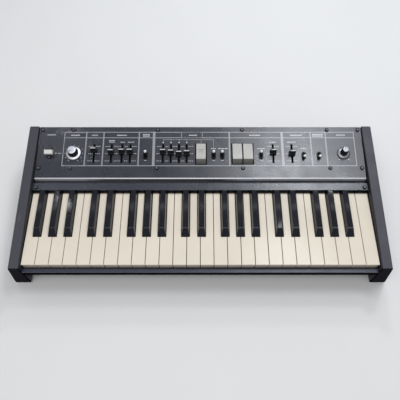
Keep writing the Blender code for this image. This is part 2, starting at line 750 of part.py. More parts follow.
def make_contact_board(mat):
    """Long circuit board under the keys with a rubber contact for each one."""
    bottom = FRAME_PLATE_TOP + CONTACT_RIDGE + SEAT_GAP
    half = TRAY_HALF_WIDTH - FRAME_END_GAP
    board = bmesh.new()
    low = (-half, key_y(CONTACT_BOARD_FRONT), key_z(bottom))
    add_box(board, low, (half, key_y(CONTACT_BOARD_REAR), key_z(bottom + BOARD_SHEET)))
    made = new_object("contact_board", board, mat)
    dip = (KEY_PIVOT - CONTACT_Y) * math.sin(math.radians(KEY_DIP_DEGREES))
    contact_top = -KEY_BODY_DEPTH - dip - 2 * SEAT_GAP
    contacts = bmesh.new()
    for centre, _, _ in all_key_centres():
        foot = rectangle(CONTACT_SIZE, CONTACT_SIZE, key_z(bottom + BOARD_SHEET / 2), centre, key_y(CONTACT_Y))
        head = rectangle(CONTACT_SIZE / 2, CONTACT_SIZE / 2, key_z(contact_top), centre, key_y(CONTACT_Y))
        add_tower(contacts, [foot, head])
    boolean(made, new_object("contacts", contacts, None, None, CUTTERS), "UNION")


def make_cheek(side, mat):
    """One end cheek: upright inside, flared outside, lower at the front, with a lug for the strip's screw."""
    name = "left_cheek" if side < 0 else "right_cheek"
    mesh = bmesh.new()
    bmesh.ops.create_cube(mesh, size=2.0)
    for vert in mesh.verts:
        rear, upper, outer = vert.co.y > 0, vert.co.z > 0, vert.co.x > 0
        height = CHEEK_FRONT_HEIGHT + (CHEEK_RISE if rear else 0.0)
        x = CHEEK_INNER
        if outer:
            x += CHEEK_TOP_THICKNESS if upper else CHEEK_TOP_THICKNESS + CHEEK_FLARE
        vert.co = (side * x, REAR if rear else FRONT, CHEEK_LIFT + (height if upper else 0.0))
    cheek = new_object(name, mesh, mat)
    bevel = cheek.modifiers.new("rounded_edges", "BEVEL")
    bevel.width = CHEEK_EDGE
    bevel.segments = 3
    bevel.limit_method = "ANGLE"
    lug = bmesh.new()
    top = STRIP_HEIGHT - SHEET - SEAT_GAP
    rows = sorted((side * (CHEEK_INNER - LUG_LENGTH), side * (CHEEK_INNER + CHEEK_TOP_THICKNESS / 2)))
    low = (rows[0], key_y(STRIP_FRONT + SHEET + SEAT_GAP), key_z(top - LUG_HEIGHT))
    add_box(lug, low, (rows[1], key_y(STRIP_REAR - SHEET - SEAT_GAP), key_z(top)))
    boolean(cheek, new_object(f"{name}_lug", lug, None, None, CUTTERS), "UNION")
    holes = bmesh.new()
    for y in SIDE_SCREWS_Y:
        place = Matrix.Translation((side * CHEEK_INNER, y, SIDE_SCREW_Z)) @ Matrix.Rotation(math.pi / 2, 4, "Y")
        add_cylinder(holes, SCREW_HOLE_RADIUS, 2 * SCREW_LENGTH, 8, place)
    screw = Matrix.Translation((side * STRIP_SCREW_X, key_y(STRIP_SCREW_Y), key_z(top)))
    add_cylinder(holes, SCREW_HOLE_RADIUS, 2 * (SCREW_LENGTH - SHEET), 8, screw)
    boolean(cheek, new_object(f"{name}_holes", holes, None, None, CUTTERS), "DIFFERENCE")
    shade_round(cheek)


def make_bottom_chassis(mat):
    """Folded steel tray with a front flange, a rear wall for the sockets, side walls and board bosses."""
    middle = SHEET / 2
    flange_z = key_z(-RAIL_DROP - SHEET / 2 - SEAT_GAP - middle)
    front = key_y(TRAY_FRONT) + middle
    rear = REAR_WALL_OUTER - middle
    drop = (SHEET + SEAT_GAP + middle) / math.cos(PANEL_SLOPE)
    top = PANEL_REAR_Z - (PANEL_REAR_Y - rear) * math.tan(PANEL_SLOPE) - drop
    back = REAR_FLANGE * math.cos(PANEL_SLOPE)
    path = [
        (front + TRAY_FLANGE, flange_z),
        (front, flange_z),
        (front, FOOT_HEIGHT + middle),
        (rear, FOOT_HEIGHT + middle),
        (rear, top),
        (rear - back, top - REAR_FLANGE * math.sin(PANEL_SLOPE)),
    ]
    chassis = prism("bottom_chassis", folded_sheet(path, SHEET), TRAY_HALF_WIDTH, mat)
    extra = bmesh.new()
    for side in (-1, 1):
        faces = sorted((side * TRAY_HALF_WIDTH, side * (TRAY_HALF_WIDTH - SHEET)))
        low = (faces[0], front, FOOT_HEIGHT + middle)
        add_box(extra, low, (faces[1], rear, FOOT_HEIGHT + TRAY_SIDE_HEIGHT))
    for x, y in board_bosses():
        rings = [circle(BOSS_RADIUS, FOOT_HEIGHT + middle, 8, x, y)]
        rings.append(circle(BOSS_RADIUS * 0.7, FLOOR_TOP + BOSS_HEIGHT, 8, x, y))
        add_tower(extra, rings)
    boolean(chassis, new_object("chassis_walls", extra, None, None, CUTTERS), "UNION")
    holes = bmesh.new()
    turn = Matrix.Rotation(math.pi / 2, 4, "X")
    for x in jack_places():
        place = Matrix.Translation((x, rear, JACK_HEIGHT)) @ turn
        add_cylinder(holes, JACK_BUSH_RADIUS + SEAT_GAP, 6 * SHEET, 10, place)
    half_width, half_height = INLET_BODY[0] / 2 + SEAT_GAP, INLET_BODY[1] / 2 + SEAT_GAP
    low = (INLET_X - half_width, rear - 3 * SHEET, INLET_HEIGHT - half_height)
    add_box(holes, low, (INLET_X + half_width, rear + 3 * SHEET, INLET_HEIGHT + half_height))
    for x in SCREW_COLUMNS:
        add_cylinder(holes, SCREW_HOLE_RADIUS, 4 * SHEET, 8, panel_place(x, REAR_SCREW_ROW, -2 * SHEET))
    for side in (-1, 1):
        for y in SIDE_SCREWS_Y:
            place = Matrix.Translation((side * TRAY_HALF_WIDTH, y, SIDE_SCREW_Z))
            add_cylinder(holes, SCREW_HOLE_RADIUS, 6 * SHEET, 8, place @ Matrix.Rotation(math.pi / 2, 4, "Y"))
    boolean(chassis, new_object("chassis_holes", holes, None, None, CUTTERS), "DIFFERENCE")


def make_front_rail(mat):
    """Folded rail in front of the keys: hanging lip, ledge, inner wall and the flange that it is fixed by."""
    middle = SHEET / 2
    ledge = -LEDGE_BELOW_KEYS - middle
    path = [
        (LEDGE_FRONT + middle, -LEDGE_BELOW_KEYS - LEDGE_LIP),
        (LEDGE_FRONT + middle, ledge),
        (LEDGE_REAR - middle, ledge),
        (LEDGE_REAR - middle, -RAIL_DROP),
        (FRAME_FRONT - 0.0015, -RAIL_DROP),
    ]
    outline = folded_sheet([(key_y(y), key_z(z)) for y, z in path], SHEET)
    prism("front_rail", outline, TRAY_HALF_WIDTH, mat)


def make_key_strip(mat):
    """Folded strip behind the keys. Its rear flange carries the panel's front screws."""
    middle = SHEET / 2
    flange_drop = (SHEET + SEAT_GAP + middle) / math.cos(PANEL_SLOPE)

    def flange_height(distance):
        return PANEL_FRONT_Z + (key_y(distance) - PANEL_FRONT_Y) * math.tan(PANEL_SLOPE) - flange_drop

    path = [
        (STRIP_FRONT + middle, STRIP_LIP_BOTTOM),
        (STRIP_FRONT + middle, STRIP_HEIGHT - middle),
        (STRIP_REAR - middle, STRIP_HEIGHT - middle),
        (STRIP_REAR - middle, GROOVE_TOP - middle),
        (GROOVE_REAR, GROOVE_TOP - middle),
    ]
    world = [(key_y(y), key_z(z)) for y, z in path]
    world += [(key_y(y), flange_height(y)) for y in (GROOVE_REAR, PANEL_FLANGE_END)]
    strip = prism("key_strip", folded_sheet(world, SHEET), TRAY_HALF_WIDTH, mat)
    holes = bmesh.new()
    for x in SCREW_COLUMNS:
        add_cylinder(holes, SCREW_HOLE_RADIUS, 4 * SHEET, 8, panel_place(x, FRONT_SCREW_ROW, -2 * SHEET))
    for side in (-1, 1):
        place = Matrix.Translation((side * STRIP_SCREW_X, key_y(STRIP_SCREW_Y), key_z(STRIP_HEIGHT - middle)))
        add_cylinder(holes, SCREW_HOLE_RADIUS, 4 * SHEET, 8, place)
    boolean(strip, new_object("strip_holes", holes, None, None, CUTTERS), "DIFFERENCE")


def well_span(names):
    """Middle and width of the opening that a row of tablets shares."""
    centres = [TABLETS[name] for name in names]
    width = max(centres) - min(centres) + TABLET_WIDTH + 2 * TABLET_MARGIN_X
    return (max(centres) + min(centres)) / 2, width


def make_top_panel(mat):
    """Sloping steel panel with its front and rear lips, cut for every control and screw."""
    middle = SHEET / 2
    cos, sin = math.cos(PANEL_SLOPE), math.sin(PANEL_SLOPE)
    path = [
        (PANEL_FRONT_Y + middle, PANEL_FRONT_Z - PANEL_FRONT_LIP),
        (PANEL_FRONT_Y + middle, PANEL_FRONT_Z - middle / cos + middle * sin / cos),
        (PANEL_REAR_Y - middle, PANEL_REAR_Z - middle / cos - middle * sin / cos),
        (PANEL_REAR_Y - middle, PANEL_REAR_Z - PANEL_REAR_LIP),
    ]
    panel = prism("top_panel", folded_sheet(path, SHEET), PANEL_HALF_WIDTH, mat)
    collars = bmesh.new()
    for x, _ in TOGGLES.values():
        lip = [size - 2 * KEY_EDGE for size in TOGGLE_COLLAR]
        rings = [oval(TOGGLE_COLLAR, -middle), oval(TOGGLE_COLLAR, TOGGLE_COLLAR_HEIGHT - KEY_EDGE)]
        add_tower(collars, rings + [oval(lip, TOGGLE_COLLAR_HEIGHT)], panel_place(x, TOGGLE_CENTRE))
    boolean(panel, new_object("toggle_collars", collars, None, None, CUTTERS), "UNION")
    holes = bmesh.new()
    deep = 3 * SHEET

    def slot(x, along, width, length):
        rings = [rectangle(width, length, z) for z in (-deep, deep)]
        add_tower(holes, rings, panel_place(x, along))

    for x, _ in SLIDERS.values():
        slot(x, SLIDER_CENTRE, SLOT_WIDTH, SLIDER_TRAVEL + SLIDER_STEM + 2 * SLIDER_END_GAP)
    for x, _ in TOGGLES.values():
        add_tower(holes, [oval(TOGGLE_SLOT, z) for z in (-deep, deep)], panel_place(x, TOGGLE_CENTRE))
    for names in TABLET_WELLS:
        x, width = well_span(names)
        length = TABLET_REAR - TABLET_FRONT + 2 * TABLET_MARGIN_Y
        slot(x, (TABLET_FRONT + TABLET_REAR) / 2, width, length)
    for x, *_ in KNOBS.values():
        add_cylinder(holes, POT_BUSH_RADIUS + SEAT_GAP, 2 * deep, 12, panel_place(x, KNOB_CENTRE))
    slot(POWER_X, POWER_CENTRE, *POWER_HOLE)
    for x, along in panel_screws():
        add_cylinder(holes, SCREW_HOLE_RADIUS, 2 * deep, 8, panel_place(x, along))
    boolean(panel, new_object("panel_openings", holes, None, None, CUTTERS), "DIFFERENCE")


def panel_screws():
    """Every screw that stands on the panel's face, as places across and along it."""
    places = [(x, along) for along in (FRONT_SCREW_ROW, REAR_SCREW_ROW) for x in SCREW_COLUMNS]
    half = POWER_SCREW_SPAN / 2
    return places + [(POWER_X, POWER_CENTRE - half), (POWER_X, POWER_CENTRE + half)]


def make_sliders(bodies, mat):
    """Ten slide controls: a body under each slot, and a capped stem that runs in it."""
    run = SLIDER_TRAVEL + SLIDER_STEM + 2 * SLIDER_END_GAP
    floor = BODY_FLOOR + 2 * SHEET
    channel = SLOT_WIDTH + 2 * SEAT_GAP
    for name, (x, rest) in SLIDERS.items():
        rings = [
            rectangle(channel, run, floor),
            rectangle(channel, run, UNDER_PANEL),
            rectangle(SLIDER_BODY_WIDTH, run + 2 * SLIDER_BODY_WALL, UNDER_PANEL),
            rectangle(SLIDER_BODY_WIDTH, run + 2 * SLIDER_BODY_WALL, BODY_FLOOR),
        ]
        add_tower(bodies, rings, panel_place(x, SLIDER_CENTRE))
        cap = bmesh.new()
        waist = SLIDER_CAP_LIFT + (SLIDER_CAP_TOP - SLIDER_CAP_LIFT) * 0.45
        rings = [
            rectangle(SLIDER_STEM_THICKNESS, SLIDER_STEM, floor + SEAT_GAP),
            rectangle(SLIDER_STEM_THICKNESS, SLIDER_STEM, SLIDER_CAP_LIFT),
            rectangle(SLIDER_CAP_WIDTH * 0.8, SLIDER_CAP_LENGTH, SLIDER_CAP_LIFT),
            rectangle(SLIDER_CAP_WIDTH, SLIDER_CAP_LENGTH, SLIDER_CAP_LIFT * 2),
            rectangle(SLIDER_CAP_WIDTH, (SLIDER_CAP_LENGTH + SLIDER_CAP_RIDGE) / 2.2, waist),
            rectangle(SLIDER_CAP_WIDTH, SLIDER_CAP_RIDGE, SLIDER_CAP_TOP),
        ]
        add_tower(cap, rings)
        new_object(name, cap, mat, panel_place(x, rest))


def make_toggles(bodies, mat):
    """Six toggle switches: a body under the panel, and a lever that tips about X inside it."""
    tip = TOGGLE_TIP_RADIUS
    reach = TOGGLE_TIP_HEIGHT - TOGGLE_PIVOT
    for name, (x, tilt) in TOGGLES.items():
        rings = [
            oval(TOGGLE_SLOT, TOGGLE_PIVOT - TOGGLE_SLOT_DEPTH),
            oval(TOGGLE_SLOT, UNDER_PANEL),
            oval(TOGGLE_BODY, UNDER_PANEL),
            oval(TOGGLE_BODY, BODY_FLOOR),
        ]
        add_tower(bodies, rings, panel_place(x, TOGGLE_CENTRE))
        lever = bmesh.new()
        rings = [
            circle(TOGGLE_SHAFT_RADIUS * 0.8, -0.6 * TOGGLE_SLOT_DEPTH, 8),
            circle(TOGGLE_SHAFT_RADIUS, 0.0, 8),
            circle(TOGGLE_SHAFT_RADIUS * 0.85, reach - 2.2 * tip, 8),
            circle(tip, reach - 1.5 * tip, 8),
            circle(tip, reach - 0.5 * tip, 8),
            circle(tip * 0.5, reach, 8),
        ]
        add_tower(lever, rings)
        lean = Matrix.Rotation(math.radians(tilt * TOGGLE_TILT_DEGREES), 4, "X")
        bmesh.ops.transform(lever, matrix=lean, verts=lever.verts)
        new_object(name, lever, mat, panel_place(x, TOGGLE_CENTRE, TOGGLE_PIVOT))


def make_tablets(bodies, pins, mat):
    """Three rocker tablets on pins across two open wells."""
    middle = (TABLET_FRONT + TABLET_REAR) / 2
    length = TABLET_REAR - TABLET_FRONT + 2 * TABLET_MARGIN_Y
    for names in TABLET_WELLS:
        x, width = well_span(names)
        rings = [
            rectangle(width, length, BODY_FLOOR + SHEET),
            rectangle(width, length, UNDER_PANEL),
            rectangle(width + 2 * TABLET_WALL, length + 2 * TABLET_WALL, UNDER_PANEL),
            rectangle(width + 2 * TABLET_WALL, length + 2 * TABLET_WALL, BODY_FLOOR),
        ]
        add_tower(bodies, rings, panel_place(x, middle))
        pin = panel_place(x, *TABLET_PIVOT) @ Matrix.Rotation(math.pi / 2, 4, "Y")
        add_cylinder(pins, TABLET_PIN_RADIUS, width + TABLET_WALL, 8, pin)
    for name, x in TABLETS.items():
        tablet = bmesh.new()
        edges = (-TABLET_WIDTH / 2, TABLET_WIDTH / 2)
        add_tower(tablet, [[Vector((edge, y, z)) for y, z in tablet_outline()] for edge in edges])
        new_object(name, tablet, mat, panel_place(x, *TABLET_PIVOT))


def tablet_outline():
    """Side profile of a tablet about its pin: two cheeks of a notch hold the pin under a wedge-shaped cap."""
    along, height = TABLET_PIVOT
    radius = TABLET_PIN_RADIUS + SEAT_GAP
    skirt = TABLET_SKIRT - height
    notch = [(-3 * radius, skirt), (-2.2 * radius, -radius), (-radius, -radius)]
    for step in range(7):
        angle = math.pi * (1 - step / 6)
        notch.append((radius * math.cos(angle), radius * math.sin(angle)))
    notch += [(radius, -radius), (2.2 * radius, -radius), (3 * radius, skirt)]
    cap = [
        (TABLET_REAR, TABLET_SKIRT),
        (TABLET_REAR, TABLET_REAR_HEIGHT),
        TABLET_CROWN,
        TABLET_CREASE,
        (TABLET_FRONT, -SHEET),
        (TABLET_FRONT, TABLET_SKIRT),
    ]
    return notch + [(y - along, z - height) for y, z in cap]


def make_knobs(bodies, mat):
    """Two rotary controls: a potentiometer under the panel, and a skirted knob on its shaft."""
    top = POT_SHAFT_HEIGHT
    sides = 16
    bore = POT_SHAFT_RADIUS + SEAT_GAP
    for name, (x, skirt, foot, cap, height) in KNOBS.items():
        rings = [
            circle(POT_BODY_RADIUS, BODY_FLOOR, 12),
            circle(POT_BODY_RADIUS, UNDER_PANEL, 12),
            circle(POT_BUSH_RADIUS, UNDER_PANEL, 12),
            circle(POT_BUSH_RADIUS, POT_BUSH_HEIGHT, 12),
            circle(POT_SHAFT_RADIUS, POT_BUSH_HEIGHT, 12),
            circle(POT_SHAFT_RADIUS, top, 12),
        ]
        add_tower(bodies, rings, panel_place(x, KNOB_CENTRE))
        knob = bmesh.new()
        hollow = POT_BUSH_RADIUS + 3 * SEAT_GAP
        rings = [
            circle(bore, top + SEAT_GAP, sides),
            circle(bore, POT_BUSH_HEIGHT + SHEET, sides),
            circle(hollow, POT_BUSH_HEIGHT + SHEET, sides),
            circle(hollow, KNOB_LIFT, sides),
            circle(skirt, KNOB_LIFT, sides),
            circle(skirt, KNOB_LIFT + KNOB_SKIRT * 0.6, sides),
            circle(foot, KNOB_LIFT + KNOB_SKIRT, sides),
            circle(cap, height - 2 * SEAT_GAP, sides),
            circle(cap - 2 * SEAT_GAP, height, sides),
        ]
        add_tower(knob, rings)
        shade_round(new_object(name, knob, mat, panel_place(x, KNOB_CENTRE)))


def make_panel_controls(board_mat, mat, tablet_mat, lever_mat):
    """The panel's circuit board with every control body joined to it, and the parts of them that move."""
    left = min(x for x, *_ in KNOBS.values()) - POT_BODY_RADIUS - BOARD_MARGIN
    right = max(x for x, *_ in KNOBS.values()) + POT_BODY_RADIUS + BOARD_MARGIN
    run = SLIDER_TRAVEL + SLIDER_STEM + 2 * (SLIDER_END_GAP + SLIDER_BODY_WALL + BOARD_MARGIN)
    top = BODY_FLOOR + BOARD_SHEET / 4
    board = bmesh.new()
    rings = [rectangle(right - left, run, z) for z in (top - BOARD_SHEET, top)]
    add_tower(board, rings, panel_place((left + right) / 2, SLIDER_CENTRE))
    made = new_object("panel_board", board, board_mat)
    bodies, pins = bmesh.new(), bmesh.new()
    make_sliders(bodies, mat)
    make_toggles(bodies, lever_mat)
    make_tablets(bodies, pins, tablet_mat)
    make_knobs(bodies, mat)
    for name, mesh in (("control_bodies", bodies), ("tablet_pins", pins)):
        boolean(made, new_object(name, mesh, None, None, CUTTERS), "UNION")


def make_power_switch(body_mat, cap_mat):
    """Paddle switch: an open body under the panel, and a cap on a neck that tips on a pin across it."""
    pin_place = panel_place(POWER_X, POWER_CENTRE, POWER_PIVOT) @ Matrix.Rotation(math.pi / 2, 4, "Y")
    well = [size + SEAT_GAP for size in POWER_HOLE]
    bottom = UNDER_PANEL - POWER_BODY_DEPTH
    body = bmesh.new()
    rings = [
        rectangle(*well, bottom + SHEET),
        rectangle(*well, UNDER_PANEL),
        rectangle(*POWER_BODY, UNDER_PANEL),
        rectangle(*POWER_BODY, bottom),
    ]
    add_tower(body, rings, panel_place(POWER_X, POWER_CENTRE))
    switch_body = new_object("power_switch_body", body, body_mat)
    pin = bmesh.new()
    add_cylinder(pin, POWER_PIN_RADIUS, (well[0] + POWER_BODY[0]) / 2, 8, pin_place)
    boolean(switch_body, new_object("power_pin", pin, None, None, CUTTERS), "UNION")
    holes = bmesh.new()
    for x, along in panel_screws()[-2:]:
        add_cylinder(holes, SCREW_HOLE_RADIUS, 4 * SHEET, 8, panel_place(x, along, UNDER_PANEL))
    boolean(switch_body, new_object("switch_holes", holes, None, None, CUTTERS), "DIFFERENCE")
    cap = bmesh.new()
    top = POWER_CAP_TOP - POWER_PIVOT
    rings = [
        rectangle(*POWER_NECK, POWER_NECK_END),
        rectangle(*POWER_NECK, POWER_CAP_BOTTOM - POWER_PIVOT),
        rectangle(*POWER_CAP, POWER_CAP_BOTTOM - POWER_PIVOT),
        rectangle(*POWER_CAP, top - KEY_EDGE),
        rectangle(*[size - 2 * KEY_EDGE for size in POWER_CAP], top),
    ]
    add_tower(cap, rings)
    lean = Matrix.Rotation(math.radians(POWER_TILT_DEGREES), 4, "X")
    bmesh.ops.transform(cap, matrix=lean, verts=cap.verts)
    place = panel_place(POWER_X, POWER_CENTRE, POWER_PIVOT)
    rocker = new_object("power_rocker", cap, cap_mat, place)
    bore = bmesh.new()
    add_cylinder(bore, POWER_PIN_RADIUS + SEAT_GAP, 2 * POWER_NECK[0], 12, pin_place)
    boolean(rocker, new_object("rocker_bore", bore, None, None, CUTTERS), "DIFFERENCE")


def jack_places():
    return [JACK_FIRST_X + number * JACK_PITCH for number in range(JACKS)]


def make_jack_board(mat):
    """Row of round sockets through the rear wall, each bored from its mouth, on the board that joins them."""
    inside = -SHEET - SEAT_GAP
    rear = key_y(FRAME_REAR) + JACK_BOARD_GAP - REAR_WALL_OUTER
    left, right = jack_places()[0] - JACK_PITCH / 2, jack_places()[-1] + JACK_PITCH / 2
    board = bmesh.new()
    low = (left, REAR_WALL_OUTER + rear - BOARD_SHEET * 0.75, JACK_HEIGHT - JACK_BOARD_HEIGHT / 2)
    high = (right, REAR_WALL_OUTER + rear + BOARD_SHEET / 4, JACK_HEIGHT + JACK_BOARD_HEIGHT / 2)
    add_box(board, low, high)
    made = new_object("jack_board", board, mat)
    rings = [
        circle(JACK_BORE_RADIUS, rear + JACK_BORE_END, 10),
        circle(JACK_BORE_RADIUS, JACK_BUSH_HEIGHT, 10),
        circle(JACK_BUSH_RADIUS, JACK_BUSH_HEIGHT, 10),
        circle(JACK_BUSH_RADIUS, inside, 10),
        circle(JACK_BODY_RADIUS, inside, 10),
        circle(JACK_BODY_RADIUS, rear, 10),
    ]
    jacks = bmesh.new()
    turn = Matrix.Rotation(-math.pi / 2, 4, "X")
    for x in jack_places():
        add_tower(jacks, rings, Matrix.Translation((x, REAR_WALL_OUTER, JACK_HEIGHT)) @ turn)
    boolean(made, new_object("jacks", jacks, None, None, CUTTERS), "UNION")


def make_mains_inlet(mat):
    """Two-pin mains inlet set in the rear wall."""
    place = Matrix.Translation((INLET_X, REAR_WALL_OUTER, INLET_HEIGHT)) @ Matrix.Rotation(-math.pi / 2, 4, "X")
    mouth = SEAT_GAP + INLET_FLANGE_HEIGHT
    inlet = bmesh.new()
    rings = [
        rectangle(*INLET_CAVITY, mouth - INLET_CAVITY_DEPTH),
        rectangle(*INLET_CAVITY, mouth),
        rectangle(*INLET_FLANGE, mouth),
        rectangle(*INLET_FLANGE, SEAT_GAP),
        rectangle(*INLET_BODY, SEAT_GAP),
        rectangle(*INLET_BODY, -INLET_BODY_LENGTH),
    ]
    add_tower(inlet, rings, place)
    made = new_object("mains_inlet", inlet, mat)
    pins = bmesh.new()
    for side in (-1, 1):
        low, high = mouth - INLET_CAVITY_DEPTH - 0.001, mouth - INLET_CAVITY_DEPTH + INLET_PIN_LENGTH
        shift = side * INLET_PIN_PITCH / 2
        add_tower(pins, [circle(INLET_PIN_RADIUS, z, 8, shift) for z in (low, high)], place)
    boolean(made, new_object("inlet_pins", pins, None, None, CUTTERS), "UNION")


def board_bosses():
    left, right, front, rear = GENERATOR_BOARD
    margin = 2 * BOSS_RADIUS
    columns = (left + margin, (left + right) / 2, right - margin)
    return [(x, y) for x in columns for y in (front + margin, rear - margin)]


def make_generator_board(mat):
    """Main circuit board on the tray's bosses, with two rows of chips."""
    left, right, front, rear = GENERATOR_BOARD
    bottom = FLOOR_TOP + BOSS_HEIGHT + SEAT_GAP
    top = bottom + BOARD_SHEET
    board = bmesh.new()
    add_box(board, (left, front, bottom), (right, rear, top))
    made = new_object("generator_board", board, mat)
    chips = bmesh.new()
    width, length, height = CHIP
    for column in range(CHIP_COLUMNS):
        for row in range(CHIP_ROWS):
            x = left + (column + 0.5) * (right - left) / CHIP_COLUMNS
            y = front + (row + 0.5) * (rear - front) / CHIP_ROWS
            low = (x - width / 2, y - length / 2, top - BOARD_SHEET / 2)
            add_box(chips, low, (x + width / 2, y + length / 2, top + height))
    boolean(made, new_object("chips", chips, None, None, CUTTERS), "UNION")


def make_transformer(mat):
    """Mains transformer: a laminated core with its coil through the middle, on the tray under the key frame."""
    base = FLOOR_TOP + SEAT_GAP
    top = key_z(FRAME_PLATE_TOP - FRAME_WALL) - TRANSFORMER_HEADROOM
    middle = (base + top) / 2

    def block(size, low_z, high_z):
        mesh = bmesh.new()
        low = (TRANSFORMER_X - size[0] / 2, key_y(TRANSFORMER_Y) - size[1] / 2, low_z)
        add_box(mesh, low, (TRANSFORMER_X + size[0] / 2, key_y(TRANSFORMER_Y) + size[1] / 2, high_z))
        return mesh

    made = new_object("power_transformer", block(TRANSFORMER_CORE, base, top), mat)
    reach = (top - base) * 0.3
    winding = new_object("winding", block(TRANSFORMER_COIL, middle - reach, middle + reach), None, None, CUTTERS)
    boolean(made, winding, "UNION")


def make_feet(mat):
    """Four round rubber feet under the tray, each with a recess in its sole."""
    for y_name, y_side in (("front", -1), ("rear", 1)):
        for x_name, x_side in (("left", -1), ("right", 1)):
            rings = [
                circle(FOOT_RADIUS * 0.4, FOOT_HEIGHT * 0.4, 12),
                circle(FOOT_RADIUS * 0.4, 0.0, 12),
                circle(FOOT_RADIUS * 0.88, 0.0, 12),
                circle(FOOT_RADIUS, FOOT_HEIGHT - SEAT_GAP, 12),
            ]
            foot = bmesh.new()
            add_tower(foot, rings)
            place = (x_side * (TRAY_HALF_WIDTH - FOOT_INSET_X), y_side * (REAR - FOOT_INSET_Y), 0.0)
            new_object(f"foot_{y_name}_{x_name}", foot, mat, Matrix.Translation(place))


def main():
    clear_scene()
    ivory = material("key_ivory", (0.79, 0.73, 0.62), 0.32)
    ebony = material("key_black", (0.012, 0.012, 0.014), 0.22)
    charcoal = material("panel_charcoal", (0.055, 0.058, 0.068), 0.45, 0.2)
    cheek_grey = material("cheek_charcoal", (0.045, 0.047, 0.055), 0.6)
    satin_black = material("satin_black", (0.015, 0.015, 0.017), 0.5)
    control_black = material("control_black", (0.008, 0.008, 0.009), 0.4)
    cream = material("control_cream", (0.62, 0.58, 0.48), 0.4)
    silver = material("bright_metal", (0.75, 0.75, 0.76), 0.25, 1.0)
    steel = material("plain_steel", (0.42, 0.42, 0.43), 0.4, 1.0)
    felt = material("red_felt", (0.30, 0.03, 0.03), 0.9)
    board = material("circuit_board", (0.28, 0.17, 0.06), 0.5)
    rubber = material("black_rubber", (0.02, 0.02, 0.02), 0.8)

    make_keyboard(ivory, ebony)
    make_key_frame(steel)
    make_felts(felt)
    make_key_springs(steel)
    make_contact_board(board)
    for side in (-1, 1):
        make_cheek(side, cheek_grey)
    make_bottom_chassis(satin_black)
    make_front_rail(charcoal)
    make_key_strip(charcoal)
    make_top_panel(charcoal)
    make_panel_controls(board, control_black, cream, silver)
    make_power_switch(control_black, cream)
    make_jack_board(board)
    make_mains_inlet(control_black)
    make_generator_board(board)
    make_transformer(steel)
    make_feet(rubber)


main()
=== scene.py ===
import math

import bmesh
import bpy
from bpy.props import FloatProperty, FloatVectorProperty, IntProperty, PointerProperty
from mathutils import Matrix, Vector


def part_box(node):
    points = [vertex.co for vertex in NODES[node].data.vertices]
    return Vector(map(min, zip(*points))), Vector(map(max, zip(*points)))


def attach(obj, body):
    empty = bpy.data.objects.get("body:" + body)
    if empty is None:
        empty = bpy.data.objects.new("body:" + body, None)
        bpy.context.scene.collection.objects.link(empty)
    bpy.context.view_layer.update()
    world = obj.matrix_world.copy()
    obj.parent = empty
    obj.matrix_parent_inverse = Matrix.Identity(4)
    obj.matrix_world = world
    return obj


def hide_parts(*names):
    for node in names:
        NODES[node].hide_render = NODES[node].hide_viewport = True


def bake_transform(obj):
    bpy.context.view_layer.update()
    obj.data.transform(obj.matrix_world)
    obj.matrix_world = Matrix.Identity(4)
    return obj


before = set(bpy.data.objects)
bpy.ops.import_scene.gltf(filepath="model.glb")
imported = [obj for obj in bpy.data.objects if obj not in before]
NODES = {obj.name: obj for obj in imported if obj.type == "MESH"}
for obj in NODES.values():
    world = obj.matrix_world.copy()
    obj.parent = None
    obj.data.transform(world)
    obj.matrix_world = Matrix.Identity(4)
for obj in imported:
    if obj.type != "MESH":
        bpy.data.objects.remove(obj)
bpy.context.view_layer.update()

bl_info = {
    "name": "Analog Synthesizer Finish",
    "version": (1, 0, 0),
    "blender": (4, 5, 0),
    "location": "View3D > Sidebar > Synthesizer",
    "description": "Dresses the solids of a keyboard synthesizer with its trim, print, controls and finishes",
    "category": "Object",
}

# The panel, in metres: its slope, the front edge of its face, half its width, and its rear edge
PANEL_LOW, PANEL_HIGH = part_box("top_panel")
PANEL_SLOPE = math.radians(7.9)
PANEL_FRONT_Y, PANEL_FRONT_Z = PANEL_LOW.y, 0.082087
PANEL_HALF_WIDTH = PANEL_HIGH.x
PANEL_REAR_Y, PANEL_REAR_Z = PANEL_HIGH.y, PANEL_HIGH.z


def on_panel(x, along=0.0, height=0.0):
    """Place on the sloping panel: along runs up the slope, height stands off its face."""
    base = Matrix.Translation((x, PANEL_FRONT_Y, PANEL_FRONT_Z)) @ Matrix.Rotation(PANEL_SLOPE, 4, "X")
    return base @ Matrix.Translation((0.0, along, height))


def seat(name):
    """Middle of a control across the panel and up its slope, to a tenth of a millimetre."""
    to_panel = on_panel(0.0).inverted()
    places = [to_panel @ vert.co for vert in NODES[name].data.vertices]
    return tuple(round((min(values) + max(values)) / 2, 4)
                 for values in ([place.x for place in places], [place.y for place in places]))


def seats(kind):
    """Controls of one kind from left to right, with their places on the panel."""
    found = {name: seat(name) for name in NODES if kind in name}
    return dict(sorted(found.items(), key=lambda item: item[1]))


# The bright trim over the panel's front edge: size, place up the slope and off the face, rounding
TRIM_SIZE = (2 * PANEL_HALF_WIDTH - 0.0006, 0.0026, 0.0022)
TRIM_PLACE = (0.0007, -0.0008)
TRIM_ROUNDING = 0.0008

# The keys: their plane and front edge, the break of the black tops, the ledge of the rail below them, the
# strip behind them, and the cheeks beside them
KEY_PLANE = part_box("key_c")[1].z
KEY_FRONT_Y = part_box("key_c")[0].y
BLACK_BREAK_Y = -0.0662
BLACK_RISE = 0.009
RAIL_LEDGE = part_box("front_rail")[1].z
STRIP_FRONT_Y = 0.0085
STRIP_TOP = KEY_PLANE + 0.0062
CHEEK_INNER_X = 0.3090
CHEEK_FRONT_Y = KEY_FRONT_Y - 0.0075
WHITE_KEYS = [name for name in NODES
              if name.endswith("white_keys") or (name.startswith("key_") and len(name) == len("key_c"))]
BLACK_KEYS = [name for name in NODES if name.endswith(("_sharp", "black_keys"))]

